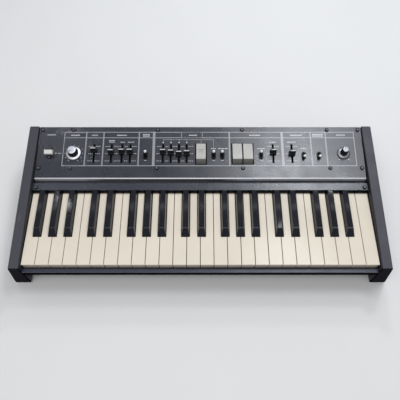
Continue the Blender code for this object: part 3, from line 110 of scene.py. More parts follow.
# Slide controls, and the middle of their slots up the slope
SLIDERS = seats("slider")
SLOT_CENTRE = 0.0507
# The cap's levels as (height, width, depth), its stem, and the white line on its top
CAP_LEVELS = (
    (0.0017, 0.0108, 0.0080), (0.0021, 0.0118, 0.0088), (0.0034, 0.0120, 0.0088),
    (0.0042, 0.0117, 0.0076), (0.0062, 0.0111, 0.0058), (0.0088, 0.0106, 0.0044),
    (0.0116, 0.0103, 0.0035), (0.0132, 0.0102, 0.0031), (0.0138, 0.0099, 0.0027))
CAP_ROUNDING = 0.00022
CAP_STEM = (0.0012, 0.0050, 0.0110)
CAP_STEM_Z = -0.0034
CAP_LINE = (0.0096, 0.0018, 0.0009)
CAP_LINE_Z = 0.0137
# The dust strip round a slot: outer width and length, breadth of its border, thickness
DUST_WIDTH, DUST_LENGTH, DUST_BORDER, DUST_THICK = 0.0040, 0.0388, 0.00085, 0.00015

# Toggle switches: the middle of their collars, their pivot, tilt and reach, where each is and the side that
# it is tipped to, and the profile of lever and tip as (radius, height)
TOGGLE_CENTRE = 0.0465
TOGGLE_PIVOT = -0.001
TOGGLE_TILT = math.radians(24.0)
TOGGLE_REACH = 0.0135
TOGGLES = {name: (x, -1 if along > TOGGLE_CENTRE else 1) for name, (x, along) in seats("toggle").items()}
LEVER_PROFILE = (
    (0.0, -0.0036), (0.0011, -0.0036), (0.0014, -0.0015), (0.0014, 0.0),
    (0.0014, TOGGLE_REACH * 0.40), (0.0017, TOGGLE_REACH * 0.55), (0.0021, TOGGLE_REACH - 0.0046),
    (0.0021, TOGGLE_REACH - 0.0038), (0.0, TOGGLE_REACH - 0.0038))
TIP_PROFILE = (
    (0.0, TOGGLE_REACH - 0.0046), (0.0020, TOGGLE_REACH - 0.0046), (0.00245, TOGGLE_REACH - 0.0038),
    (0.0025, TOGGLE_REACH - 0.0024), (0.0024, TOGGLE_REACH - 0.0012), (0.0019, TOGGLE_REACH - 0.0005),
    (0.0010, TOGGLE_REACH - 0.0001), (0.0, TOGGLE_REACH))

# Rocker tablets: their front edge, the line between front and top, the pitch of the ribs, and the two bars
TABLETS = seats("tablet")
TABLET_FRONT, TABLET_BREAK = 0.0292, 0.0366
RIB_PITCH = 0.0011
TABLET_BAR = (0.0095, 0.0007, 0.0005)
TABLET_BAR_PLACES = ((0.0562, 0.00536), (0.0512, 0.00636))
TABLET_BAR_TILT = math.atan2(-0.0055, 0.0223)
ORGAN_TABLET_X = TABLETS["organ_tablet"][0]

# Rotary knobs: place across, radius of skirt, grip foot and cap, height, turn, and tone of the metal, painted
# light on the volume knob and painted shade on the tune knob
VOLUME_X, KNOB_CENTRE = seat("volume_knob")
TUNE_X = seat("tune_knob")[0]
KNOB_BORE = 0.0046
KNOB_RING_PITCH = 0.0004
GRIP_FOOT_Z = 0.0030
FLUTE_DEPTH = 0.00042
KNOBS = {
    "volume_knob": {"x": VOLUME_X, "skirt": 0.0136, "foot": 0.0098, "cap": 0.0082, "height": 0.0165,
                    "pointer": math.radians(120), "tone": 1.10},
    "tune_knob": {"x": TUNE_X, "skirt": 0.0110, "foot": 0.0070, "cap": 0.0060, "height": 0.0189,
                  "pointer": math.radians(15), "tone": 0.50, "flange": 0.0014},
}

# Screws: on the panel (across, up the slope), on the strip, beside the power paddle, in the rear fold, and
# underneath
PANEL_SCREWS = [(x, along) for x in (-0.300, -0.242, -0.081, 0.0795, 0.2415, 0.300)
                for along in (0.021, 0.100)]
STRIP_SCREW = (0.3005, 0.0155, KEY_PLANE + 0.007)
POWER = seat("power_switch_body")
POWER_SCREW_SPAN = 0.0193
REAR_SCREW_ROW = (-0.285, -0.100, 0.010, 0.285)
REAR_SCREW_Z = PANEL_REAR_Z - 0.0066
REAR_SCREW_HEAD = 0.0026
UNDERSIDE_COLUMNS = (-0.270, -0.090, 0.090, 0.270)
UNDERSIDE_ROWS = (-0.112, 0.004, 0.108)
UNDERSIDE_Z = 0.0049
# A head's rise and sink, its dome as shares of radius and rise, and its cross as shares of the radius
SCREW_LIFT, SCREW_SINK, SCREW_RISE = 0.0001, 0.0006, 0.55
SCREW_DOME = ((1.0, 0.0), (0.99, 0.35), (0.90, 0.72), (0.68, 0.93), (0.35, 1.0), (0.0, 1.0))
SCREW_RECESS = (1.15, 0.38, 0.22)

# Rear wall: the sockets and the mains inlet with its two pins
REAR_WALL_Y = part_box("bottom_chassis")[1].y
JACKS = [0.110 + step * 0.030 for step in range(5)]
JACK_HEIGHT = sum(corner.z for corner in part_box("mains_inlet")) / 2
JACK_BORE = 0.0048
WASHER_RADIUS, WASHER_THICK = 0.0078, 0.0006
NUT_RADIUS, NUT_THICK = 0.0067, 0.0016
INLET_X = sum(corner.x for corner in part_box("mains_inlet")) / 2
INLET_PIN = 0.0043

# Inside: the face of the panel's circuit board, the contacts' height, and the transformer's coil
BODY_FLOOR = -0.0127
CONTACT_RISE = 0.0016
CHIP_RISE = 0.0018
COIL_REACH = 0.0101

# Leaves of the return springs: places from the foot strip to the flat tip, width, sheet, and heights
LEAF_ROOT, LEAF_BEND, LEAF_TIP, LEAF_END = 0.0155, 0.0195, 0.0545, 0.0605
LEAF_WIDTH, LEAF_SHEET, LEAF_STEPS = 0.006, 0.0004, 18
COMB_LOW, COMB_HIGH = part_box("key_springs")
LEAF_LOW, LEAF_HIGH = COMB_LOW.z, COMB_HIGH.z - LEAF_SHEET

# Numbers of the three inks
LINE_INK, LABEL_INK, DIVIDER_INK = 0, 1, 2
# Printed lines: edges of the sections from left to right, widths of the lines between them, and places of
# the long lines up the slope
SECTION_EDGES = (-0.2582, -0.2162, -0.1832, -0.1160, -0.0877, 0.0550, 0.1549, 0.2091, 0.2376, 0.2919)
DIVIDER_WIDTHS = (0.0023, 0.0023, 0.0023, 0.0048, 0.0026, 0.0048, 0.0021, 0.0020)
LINE_BOTTOM, LINE_HEADER, LINE_TOP = 0.0258, 0.0836, 0.0953
ORGAN_HEADER = (-0.0359, 0.0041)
# The fine line that joins the organ's slides, its tablet and the attack toggle, its drops as (middle,
# length), and the dots over the slides
BRACKET_ALONG, BRACKET_WIDTH, HAIRLINE = 0.0798, 0.0006, 0.0005
SLIDE_DROP, TABLET_DROP, TOGGLE_DROP = (0.0775, 0.0042), (0.0760, 0.0070), (0.0712, 0.0165)
ORGAN_DOT, ORGAN_DOT_ALONG = 0.0013, 0.0737
# Rows of dashes beside the slots: their places, how far each group's rows reach past its slots, and a dash
SCALE_ROWS = (0.0655, 0.0506, 0.0357)
SCALES = {"tone": 0.013, "strings": 0.013, "ensemble": 0.013, "vibrato": 0.0125, "organ": 0.0125}
DASH, DASH_PITCH, SLOT_CLEARANCE = (0.0021, 0.0009), 0.0033, 0.0030
# Plain bars: (left, right, along, pieces) for the sections, (left, right, along) for the controls
SECTION_BARS = (
    (-0.2912, -0.2748, 0.0897, 4), (-0.2458, -0.2287, 0.0890, 4), (-0.2064, -0.1946, 0.0890, 3),
    (-0.1588, -0.1394, 0.0888, 5), (-0.1092, -0.0958, 0.0905, 3), (-0.1092, -0.0958, 0.0872, 3),
    (-0.0220, -0.0062, 0.0889, 4), (0.0926, 0.1136, 0.0890, 5), (0.1706, 0.1935, 0.0890, 6),
    (0.2126, 0.2334, 0.0908, 5), (0.2126, 0.2334, 0.0873, 4), (0.2582, 0.2754, 0.0893, 5))
CONTROL_BARS = (
    (-0.1729, -0.1616, 0.0778), (-0.1729, -0.1616, 0.0746), (-0.1511, -0.1426, 0.0744),
    (-0.1370, -0.1248, 0.0744), (0.1299, 0.1432, 0.0744), (0.1640, 0.1811, 0.0745),
    (0.0201, 0.0295, 0.0610), (0.0333, 0.0521, 0.0610), (0.1067, 0.1218, 0.0609),
    (0.1896, 0.1991, 0.0614), (-0.2675, -0.2614, 0.0513))
SECTION_BAR_HEIGHT, CONTROL_BAR_HEIGHT, BAR_GAP = 0.0017, 0.0013, 0.0008
# Mark below an upright toggle, as (along, width, length), and the dot beside the power paddle
TOGGLE_MARK = (0.0366, 0.0048, 0.0008)
POWER_DOT, POWER_DOT_PLACE = 0.0012, (-0.2711, 0.0513)
# Marks round the knobs: place across, radius, and the angles; the outermost are dots
KNOB_MARKS = ((VOLUME_X, 0.0168, range(-150, 151, 30)), (TUNE_X, 0.0150, (-144, 144)))
KNOB_DOT, KNOB_STROKE = 0.0009, (0.0006, 0.0022)

# The stage: lamps as (share of the rear power, size, place, point lit), room light, and the photograph's view
MAIN_LAMP = ((0.9, 0.6), (-0.36, -0.70, 1.85), (-0.05, 0.0, 0.08))
REAR_LAMPS = {
    "rear_lamp_right": (1.0, (0.75, 0.42), (0.65, 0.47, 2.18), (0.19, 0.0, 0.08)),
    "rear_lamp_low": (0.55, (0.36, 0.22), (0.62, 1.02, 1.62), (0.19, 0.02, 0.08)),
    "rear_lamp_far": (0.28, (0.20, 0.12), (0.21, 1.15, 1.14), (0.08, 0.085, 0.09)),
    "rear_lamp_left": (0.012, (0.028, 0.05), (-0.568, 0.50, 1.09), (-0.2, 0.0, 0.08)),
    "rear_lamp_row": (0.030, (1.9, 0.02), (0.0, 0.73, 1.60), (0.0, -0.03, 0.08)),
}
WARM_LIGHT, COOL_LIGHT = (1.0, 0.985, 0.96), (0.93, 0.96, 1.0)
ROOM_EVEN, ROOM_SEEN, ROOM_SEEN_STRENGTH = (0.95, 0.97, 1.0), (0.82, 0.87, 0.97), 0.50
FLOOR_REACH = 3.0
CAMERA_PLACE = (-0.0005, -0.4049, 0.8468)
CAMERA_TILT = math.radians(27.253)
CAMERA_LENS, CAMERA_SENSOR = 43.03, 36.0


# ---------------------------------------------------------------- shapes

def select_edges(verts, test=None):
    """Edges between the given points that pass the test."""
    inside = set(verts)
    edges = {edge for vert in verts for edge in vert.link_edges if edge.other_vert(vert) in inside}
    return [edge for edge in edges if test is None or test(edge)]


def round_edges(bm, edges, width, segments=2):
    bmesh.ops.bevel(bm, geom=list(edges), offset=width, offset_type="OFFSET", segments=segments, profile=0.5,
                    affect="EDGES", clamp_overlap=True, material=-1)


def number_faces(verts, material):
    """Gives the faces round the points the number of their material."""
    for face in {face for vert in verts for face in vert.link_faces}:
        face.material_index = material


def add_block(bm, size, place, rounding=0.0, segments=2, material=0):
    """Box with rounded edges, centred on its place."""
    verts = bmesh.ops.create_cube(bm, size=1.0, matrix=place @ Matrix.Diagonal((*size, 1.0)))["verts"]
    number_faces(verts, material)
    if rounding:
        round_edges(bm, select_edges(verts), rounding, segments)


def add_turned(bm, profile, place, steps=32, material=0):
    """Turns a profile of (radius, height) points about the Z axis of its place."""
    verts = [bm.verts.new((radius, 0.0, height)) for radius, height in profile]
    edges = [bm.edges.new(pair) for pair in zip(verts, verts[1:])]
    before = set(bm.faces)
    bmesh.ops.spin(bm, geom=verts + edges, cent=(0, 0, 0), axis=(0, 0, 1), angle=2 * math.pi, steps=steps,
                   use_merge=True)
    faces = [face for face in bm.faces if face not in before]
    made = list({vert for face in faces for vert in face.verts})
    for face in faces:
        face.material_index = material
    bmesh.ops.transform(bm, matrix=place, verts=made)
    bmesh.ops.remove_doubles(bm, verts=made, dist=1e-6)


def add_dot(bm, radius, thick, place, sides=16, material=0):
    """Round dot of ink that lies on its place."""
    verts = bmesh.ops.create_cone(
        bm, cap_ends=True, segments=sides, radius1=radius, radius2=radius, depth=thick,
        matrix=place @ Matrix.Translation((0, 0, thick / 2)))["verts"]
    number_faces(verts, material)


def extrude(bm, faces, offset):
    """Extrudes faces by an offset, and gives the new points and faces."""
    raised = bmesh.ops.extrude_face_region(bm, geom=faces)["geom"]
    verts = [item for item in raised if isinstance(item, bmesh.types.BMVert)]
    bmesh.ops.translate(bm, vec=offset, verts=verts)
    return verts, [item for item in raised if isinstance(item, bmesh.types.BMFace)]


def draw_up(bm, face, steps):
    """Draws a face up through steps of (rise, scale across, scale along), and gives the new points."""
    made = []
    for index, (rise, across, along) in enumerate(steps):
        verts, raised = extrude(bm, [face], (0, 0, rise))
        bmesh.ops.scale(bm, vec=(across, along, 1.0), verts=verts)
        if index:
            bmesh.ops.delete(bm, geom=[face], context="FACES_ONLY")
        face = raised[0]
        made += verts
    return made


def finish_piece(name, bm, body, materials, stands_for=(), smooth=40.0, carve=None):
    """Turns a bmesh into a piece at the origin that rides on a body, where one is given."""
    bmesh.ops.recalc_face_normals(bm, faces=bm.faces[:])
    mesh = bpy.data.meshes.new(name)
    bm.to_mesh(mesh)
    bm.free()
    for material in materials:
        mesh.materials.append(material)
    piece = bpy.data.objects.new(name, mesh)
    bpy.context.scene.collection.objects.link(piece)
    if carve is not None:
        cut_out(piece, carve, materials)
    piece.data.polygons.foreach_set("use_smooth", [True] * len(piece.data.polygons))
    piece.data.set_sharp_from_angle(angle=math.radians(smooth))
    if body:
        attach(piece, body)
    if stands_for:
        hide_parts(*stands_for)
    return piece


def cut_out(piece, cutter_mesh, materials):
    """Subtracts a bmesh from a piece for good."""
    bmesh.ops.recalc_face_normals(cutter_mesh, faces=cutter_mesh.faces[:])
    mesh = bpy.data.meshes.new("cutter")
    cutter_mesh.to_mesh(mesh)
    cutter_mesh.free()
    for material in materials:
        mesh.materials.append(material)
    cutter = bpy.data.objects.new("cutter", mesh)
    bpy.context.scene.collection.objects.link(cutter)
    modifier = piece.modifiers.new("carve", "BOOLEAN")
    modifier.operation = "DIFFERENCE"
    modifier.solver = "EXACT"
    modifier.use_self = True
    modifier.object = cutter
    bpy.context.view_layer.update()
    carved = bpy.data.meshes.new_from_object(piece.evaluated_get(bpy.context.evaluated_depsgraph_get()))
    piece.modifiers.clear()
    old = piece.data
    carved.name = piece.name
    piece.data = carved
    bpy.data.meshes.remove(old)
    bpy.data.objects.remove(cutter)
    bpy.data.meshes.remove(mesh)


def soften(name, width, segments=2, angle=35.0):
    """Rounds the edges of a solid that stays as it is."""
    weld = NODES[name].modifiers.new("weld", "WELD")
    weld.merge_threshold = 2e-6
    bevel = NODES[name].modifiers.new("edge", "BEVEL")
    bevel.width = width
    bevel.segments = segments
    bevel.limit_method = "ANGLE"
    bevel.angle_limit = math.radians(angle)
    bevel.use_clamp_overlap = True
    bevel.harden_normals = True


def dress(name, *materials):
    """Gives a solid its finish."""
    slots = NODES[name].data.materials
    slots.clear()
    for material in materials:
        slots.append(material)


# ---------------------------------------------------------------- finishes

class Finish:
    """Node material on object coordinates, built up step by step."""

    def __init__(self, name, color, roughness, metallic=0.0, specular=0.5):
        self.material = bpy.data.materials.new(name)
        self.material.use_nodes = True
        self.tree = self.material.node_tree
        self.shader = self.tree.nodes["Principled BSDF"]
        self.shader.inputs["Roughness"].default_value = roughness
        self.shader.inputs["Metallic"].default_value = metallic
        self.shader.inputs["Specular IOR Level"].default_value = specular
        self.coordinates = self.tree.nodes.new("ShaderNodeTexCoord").outputs["Object"]
        self.base = (*color, 1.0)
        self.shader.inputs["Base Color"].default_value = self.base

    def feed(self, socket, value):
        """Links a socket to another one, or sets its value."""
        if isinstance(value, bpy.types.NodeSocket):
            self.tree.links.new(value, socket)
        else:
            socket.default_value = value

    def node(self, kind, inputs, **settings):
        made = self.tree.nodes.new(kind)
        for key, value in settings.items():
            setattr(made, key, value)
        for key, value in inputs.items():
            self.feed(made.inputs[key], value)
        return made

    def math(self, operation, first, second=0.0):
        return self.node("ShaderNodeMath", {0: first, 1: second}, operation=operation).outputs[0]

    def product(self, first, second):
        return self.math("MULTIPLY", first, second)

    def squared_distance(self, first, second):
        return self.math("ADD", self.product(first, first), self.product(second, second))

    def axis(self, letter, coordinates=None):
        split = self.node("ShaderNodeSeparateXYZ", {0: coordinates or self.coordinates})
        return split.outputs[letter]

    def panel_coordinates(self):
        """Object coordinates turned so that Y runs up the panel and Z stands off its face."""
        turn = Matrix.Rotation(-PANEL_SLOPE, 3, "X")
        shift = turn @ Vector((0.0, -PANEL_FRONT_Y, -PANEL_FRONT_Z))
        return self.node("ShaderNodeMapping", {
            "Vector": self.coordinates, "Location": shift, "Rotation": (-PANEL_SLOPE, 0.0, 0.0)}).outputs[0]

    def stretched(self, scale):
        return self.node("ShaderNodeMapping", {"Vector": self.coordinates, "Scale": scale}).outputs[0]

    def noise(self, scale, detail=3.0, coordinates=None):
        return self.node("ShaderNodeTexNoise", {
            "Vector": coordinates or self.coordinates, "Scale": scale, "Detail": detail,
            "Roughness": 0.55}).outputs["Fac"]

    def above(self, value, threshold, softness=0.0001):
        """0 below a threshold, 1 above it, with a short ramp between."""
        return self.node("ShaderNodeMapRange", {
            "Value": value, "From Min": threshold - softness, "From Max": threshold + softness},
            clamp=True).outputs["Result"]

    def below(self, value, threshold, softness=0.0001):
        """1 below a threshold, 0 above it, with a short ramp between."""
        return self.above(value, threshold, -softness)

    def spread(self, value, low, high, to_low=0.0, to_high=1.0):
        """Carries a range of values over to another range, and holds it beyond its ends."""
        return self.node("ShaderNodeMapRange", {
            "Value": value, "From Min": low, "From Max": high, "To Min": to_low, "To Max": to_high},
            clamp=True).outputs["Result"]

    def tint(self, mask, color):
        """Mixes a colour in where the mask is 1."""
        mix = self.node("ShaderNodeMix", {}, data_type="RGBA")
        factor, first, second = [socket for socket in mix.inputs if socket.enabled]
        self.feed(factor, mask)
        self.feed(first, self.base)
        self.feed(second, (*color, 1.0))
        self.base = next(socket for socket in mix.outputs if socket.enabled)
        self.feed(self.shader.inputs["Base Color"], self.base)

    def vary(self, scale, amount, detail=3.0, coordinates=None):
        """Lightens and darkens the colour a little from place to place."""
        value = self.spread(self.noise(scale, detail, coordinates), 0.25, 0.75, to_low=1.0 - amount,
                            to_high=1.0 + amount)
        color = self.base if isinstance(self.base, bpy.types.NodeSocket) else self.base[:3]
        self.base = self.node("ShaderNodeVectorMath", {0: color, "Scale": value},
                              operation="SCALE").outputs[0]
        self.feed(self.shader.inputs["Base Color"], self.base)

    def sheen_of(self, low, high, scale, detail=4.0, coordinates=None):
        """Roughness that wanders between two values."""
        self.set("Roughness", self.spread(self.noise(scale, detail, coordinates), 0.3, 0.7, to_low=low,
                                          to_high=high))

    def switch(self, socket, mask, off, on):
        """A shader value that changes with a mask."""
        self.set(socket, self.spread(mask, 0.0, 1.0, to_low=off, to_high=on))

    def relief(self, height, distance, strength=1.0):
        """Fine relief, on top of what is there."""
        normal = self.shader.inputs["Normal"]
        inputs = {"Height": height, "Distance": distance, "Strength": strength}
        if normal.is_linked:
            inputs["Normal"] = normal.links[0].from_socket
        self.feed(normal, self.node("ShaderNodeBump", inputs).outputs[0])

    def grain(self, scale, distance, strength=1.0, detail=2.0, coordinates=None):
        self.relief(self.noise(scale, detail, coordinates), distance=distance, strength=strength)

    def set(self, socket, value):
        self.feed(self.shader.inputs[socket], value)


def satin_paint(name, color, roughness):
    """Sprayed satin enamel on sheet metal: slight orange peel, faint handling marks."""
    finish = Finish(name, color, roughness=roughness, specular=0.75)
    finish.set("IOR", 1.57)
    finish.vary(scale=9.0, amount=0.07, detail=4.0)
    finish.sheen_of(low=roughness - 0.05, high=roughness + 0.07, scale=22.0)
    finish.grain(scale=1500.0, distance=0.00006, strength=0.45)
    return finish


def moulded(name, color, roughness, grain=0.00003, specular=0.5):
    """Moulded plastic with a faint texture."""
    finish = Finish(name, color, roughness=roughness, specular=specular)
    finish.vary(scale=40.0, amount=0.05)
    finish.sheen_of(low=roughness - 0.05, high=roughness + 0.06, scale=60.0)
    finish.grain(scale=2200.0, distance=grain, strength=0.5)
    return finish


def bright_metal(name, color, roughness, stretch=(1.0, 1.0, 1.0)):
    """Turned or drawn metal with fine tool marks."""
    finish = Finish(name, color, roughness=roughness, metallic=1.0)
    lines = finish.stretched(stretch)
    finish.vary(scale=900.0, amount=0.08, detail=2.0, coordinates=lines)
    finish.sheen_of(low=roughness - 0.06, high=roughness + 0.08, scale=600.0, detail=2.0, coordinates=lines)
    finish.grain(scale=2500.0, distance=0.00002, strength=0.4, detail=2.0, coordinates=lines)
    return finish


def circuit_board(name):
    """Resin board with tracks and solder."""
    board = Finish(name, (0.26, 0.155, 0.055), roughness=0.42)
    board.vary(scale=30.0, amount=0.1)
    tracks = board.node("ShaderNodeTexVoronoi", {"Vector": board.coordinates, "Scale": 160.0},
                        distance="CHEBYCHEV").outputs["Distance"]
    board.tint(board.spread(tracks, 0.28, 0.30, to_low=0.5, to_high=0.0), (0.30, 0.24, 0.10))
    board.grain(scale=900.0, distance=0.00004, strength=0.4)
    return board


# ---------------------------------------------------------------- what a user can change

class SynthCaseLook(bpy.types.PropertyGroup):
    panel_color: FloatVectorProperty(
        name="Panel", description="Paint of the panel, the strip and the front rail", subtype="COLOR",
        default=(0.010, 0.0115, 0.020), min=0.0, max=1.0)
    panel_gloss: FloatProperty(
        name="Panel roughness", description="Roughness of the satin paint", subtype="FACTOR",
        default=0.28, min=0.05, max=1.0)
    cheek_color: FloatVectorProperty(
        name="Cheeks", description="Textured paint of the end cheeks", subtype="COLOR",
        default=(0.050, 0.049, 0.062), min=0.0, max=1.0)
    chassis_color: FloatVectorProperty(
        name="Chassis", description="Powder coat of the tray and rear wall", subtype="COLOR",
        default=(0.018, 0.018, 0.020), min=0.0, max=1.0)
    edge: FloatProperty(
        name="Sheet edge", description="Rounding of folded sheet edges", unit="LENGTH",
        default=0.0004, min=0.0, max=0.002)
    # Its colour also paints the reflection on the panel's fold below the front edge
    trim_color: FloatVectorProperty(
        name="Front trim", description="Bright trim along the panel's front edge", subtype="COLOR",
        default=(0.64, 0.64, 0.67), min=0.0, max=1.0)


class SynthKeyLook(bpy.types.PropertyGroup):
    white_color: FloatVectorProperty(
        name="White keys", description="Moulded cream plastic of the white keys", subtype="COLOR",
        default=(0.78, 0.71, 0.60), min=0.0, max=1.0)
    black_color: FloatVectorProperty(
        name="Black keys", description="Moulded plastic of the black keys", subtype="COLOR",
        default=(0.008, 0.008, 0.013), min=0.0, max=1.0)
    edge: FloatProperty(
        name="Key edge", description="Rounding of the keys' moulded edges", unit="LENGTH",
        default=0.0003, min=0.0, max=0.001)


class SynthPrintLook(bpy.types.PropertyGroup):
    ink_color: FloatVectorProperty(
        name="Ink", description="Light grey screen print", subtype="COLOR",
        default=(0.40, 0.40, 0.43), min=0.0, max=1.0)
    line: FloatProperty(
        name="Line width", description="Width of the printed section lines", unit="LENGTH",
        default=0.0011, min=0.0002, max=0.003)
    thickness: FloatProperty(
        name="Ink thickness", description="How far the print stands off the paint", unit="LENGTH",
        default=0.00006, min=0.00002, max=0.0003)


class SynthControlLook(bpy.types.PropertyGroup):
    black_color: FloatVectorProperty(
        name="Black controls", description="Moulded plastic of caps, knobs and collars", subtype="COLOR",
        default=(0.010, 0.010, 0.011), min=0.0, max=1.0)
    tablet_color: FloatVectorProperty(
        name="Tablets", description="Moulded plastic of the rocker tablets and the power paddle",
        subtype="COLOR",
        default=(0.46, 0.45, 0.425), min=0.0, max=1.0)
    metal_color: FloatVectorProperty(
        name="Bright metal", description="Spun aluminium of the knob skirts and caps", subtype="COLOR",
        default=(0.72, 0.72, 0.74), min=0.0, max=1.0)
    tip_color: FloatVectorProperty(
        name="White tips", description="Tips of the toggle levers and lines of the slide caps",
        subtype="COLOR",
        default=(0.86, 0.86, 0.85), min=0.0, max=1.0)
    flutes: IntProperty(
        name="Knob flutes", description="Grip flutes round a rotary knob", default=36, min=12, max=72)
    screw_head: FloatProperty(
        name="Screw head", description="Radius of the panel screws' pan heads", unit="LENGTH",
        default=0.0038, min=0.002, max=0.004)


class SynthStageLook(bpy.types.PropertyGroup):
    floor_color: FloatVectorProperty(
        name="Floor", description="Pale floor under the instrument", subtype="COLOR",
        default=(0.80, 0.80, 0.80), min=0.0, max=1.0)
    sky: FloatProperty(
        name="Room light", description="Strength of the even light from all round",
        default=0.42, min=0.0, max=1.0)
    key_power: FloatProperty(
        name="Main lamp", description="Power of the large soft lamp over the player's side", unit="POWER",
        default=9.6, min=0.0, max=100.0)
    sheen_power: FloatProperty(
        name="Rear lamps", description="Power of the soft lamps whose reflections show on paint and keys",
        unit="POWER", default=10.5, min=0.0, max=100.0)


# ---------------------------------------------------------------- pieces

class SynthStep(bpy.types.Operator):
    """Shared base of the finishing steps"""
    bl_idname = "synth.step"
    bl_label = "Finishing step"
    bl_options = {"REGISTER"}

    @property
    def case(self):
        return bpy.context.scene.synth_case

    @property
    def keys(self):
        return bpy.context.scene.synth_keys

    @property
    def ink(self):
        return bpy.context.scene.synth_print

    @property
    def controls(self):
        return bpy.context.scene.synth_controls


def black_plastic(look):
    """The one black plastic of the caps, levers, knobs and the power switch."""
    made = bpy.data.materials.get("control_plastic")
    return made or moulded("control_plastic", look.black_color, roughness=0.42).material


class SYNTH_OT_case(SynthStep):
    """Paint the panel, strip, rail, cheeks, chassis and feet, and round the edges of all but the panel and
    strip
    """
    bl_idname = "synth.case"
    bl_label = "Case"

    def panel(self, look):
        """Satin paint, dark on the collars that stand up from it, with a painted reflection on the fold below
        the front edge.
        """
        paint = satin_paint("panel_paint", look.panel_color, look.panel_gloss)
        flat = paint.panel_coordinates()
        height = paint.axis("Z", flat)
        collar = paint.above(height, 0.0003)
        paint.tint(collar, [c * 0.4 for c in self.controls.black_color])
        paint.switch("Specular IOR Level", collar, off=0.75, on=0.12)
        face = paint.product(paint.below(height, -0.0012, 0.0002), paint.above(height, -0.0080, 0.0004))
        fold = paint.product(paint.below(paint.axis("Y", flat), 0.0006), face)
        # Painted reflection: the fold gets the trim colour at both ends, where lamps would glint on it, and
        # stays dark in its middle third
        away = paint.math("ABSOLUTE", paint.math("ADD", paint.axis("X"), 0.07))
        paint.tint(paint.product(fold, paint.spread(away, 0.105, 0.15, to_low=0.08, to_high=1.0)),
                   look.trim_color)
        return paint.material

    def strip(self, look):
        """The panel's paint, a little lighter, with painted shade on the face behind the keys."""
        paint = satin_paint("strip_paint", [c * 1.5 for c in look.panel_color], look.panel_gloss)
        # Painted shade: the face behind the keys is tinted near black and loses most of its shine
        shade = paint.product(paint.below(paint.axis("Z"), STRIP_TOP, 0.0002),
                              paint.below(paint.axis("Y"), STRIP_FRONT_Y + 0.0012, 0.0002))
        paint.tint(shade, (0.003, 0.003, 0.003))
        paint.switch("Specular IOR Level", shade, off=0.75, on=0.08)
        return paint.material

    def rail(self, look):
        """Lighter and duller paint on the ledge, with painted shade below it."""
        paint = satin_paint("rail_paint", [c * 3.2 for c in look.panel_color], look.panel_gloss + 0.10)
        # Painted shade on the fold below the ledge: near black, without shine
        fold = paint.below(paint.axis("Z"), RAIL_LEDGE - 0.0012, 0.0004)
        paint.tint(fold, (0.004, 0.004, 0.005))
        paint.switch("Specular IOR Level", fold, off=0.55, on=0.0)
        return paint.material

    def cheek(self, look):
        """Textured paint with a few scuffs, and painted shade on the front and inner faces."""
        paint = Finish("cheek_paint", look.cheek_color, roughness=0.55)
        paint.vary(scale=14.0, amount=0.10, detail=5.0)
        scuffs = paint.spread(paint.noise(55.0, 8.0, paint.stretched((1, 0.25, 1))), 0.66, 0.74)
        paint.tint(paint.product(scuffs, 0.25), (0.12, 0.115, 0.12))
        # Painted shade on the front face
        front = paint.below(paint.axis("Y"), CHEEK_FRONT_Y, 0.0006)
        paint.tint(paint.product(front, 0.75), (0.008, 0.008, 0.010))
        # Painted shade on the inner faces
        inward = paint.below(paint.math("ABSOLUTE", paint.axis("X")), CHEEK_INNER_X, 0.0004)
        paint.tint(paint.product(inward, 0.9), (0.006, 0.006, 0.008))
        paint.switch("Specular IOR Level", front, off=0.5, on=0.0)
        paint.sheen_of(low=0.48, high=0.62, scale=30.0)
        paint.grain(scale=1100.0, distance=0.00016, strength=0.6, detail=1.0)
        return paint.material

    def execute(self, context):
        look = self.case
        chassis = Finish("chassis_coat", look.chassis_color, roughness=0.5)
        chassis.vary(scale=12.0, amount=0.12)
        chassis.sheen_of(low=0.42, high=0.58, scale=40.0)
        chassis.grain(scale=1300.0, distance=0.0001, strength=0.5, detail=1.0)
        rubber = Finish("foot_rubber", (0.016, 0.016, 0.016), roughness=0.85, specular=0.3)
        rubber.vary(scale=60.0, amount=0.15)
        rubber.grain(scale=800.0, distance=0.00012, strength=0.6)
        cheek = self.cheek(look)
        dress("top_panel", self.panel(look))
        dress("key_strip", self.strip(look))
        dress("front_rail", self.rail(look))
        dress("bottom_chassis", chassis.material)
        for name in ("front_rail", "bottom_chassis"):
            soften(name, look.edge, segments=2, angle=50.0)
        for name in ("left_cheek", "right_cheek"):
            dress(name, cheek)
            soften(name, 0.0008, segments=3, angle=30.0)
        for name in NODES:
            if name.startswith("foot_"):
                dress(name, rubber.material)
                soften(name, 0.0006, segments=3, angle=30.0)
        return {"FINISHED"}


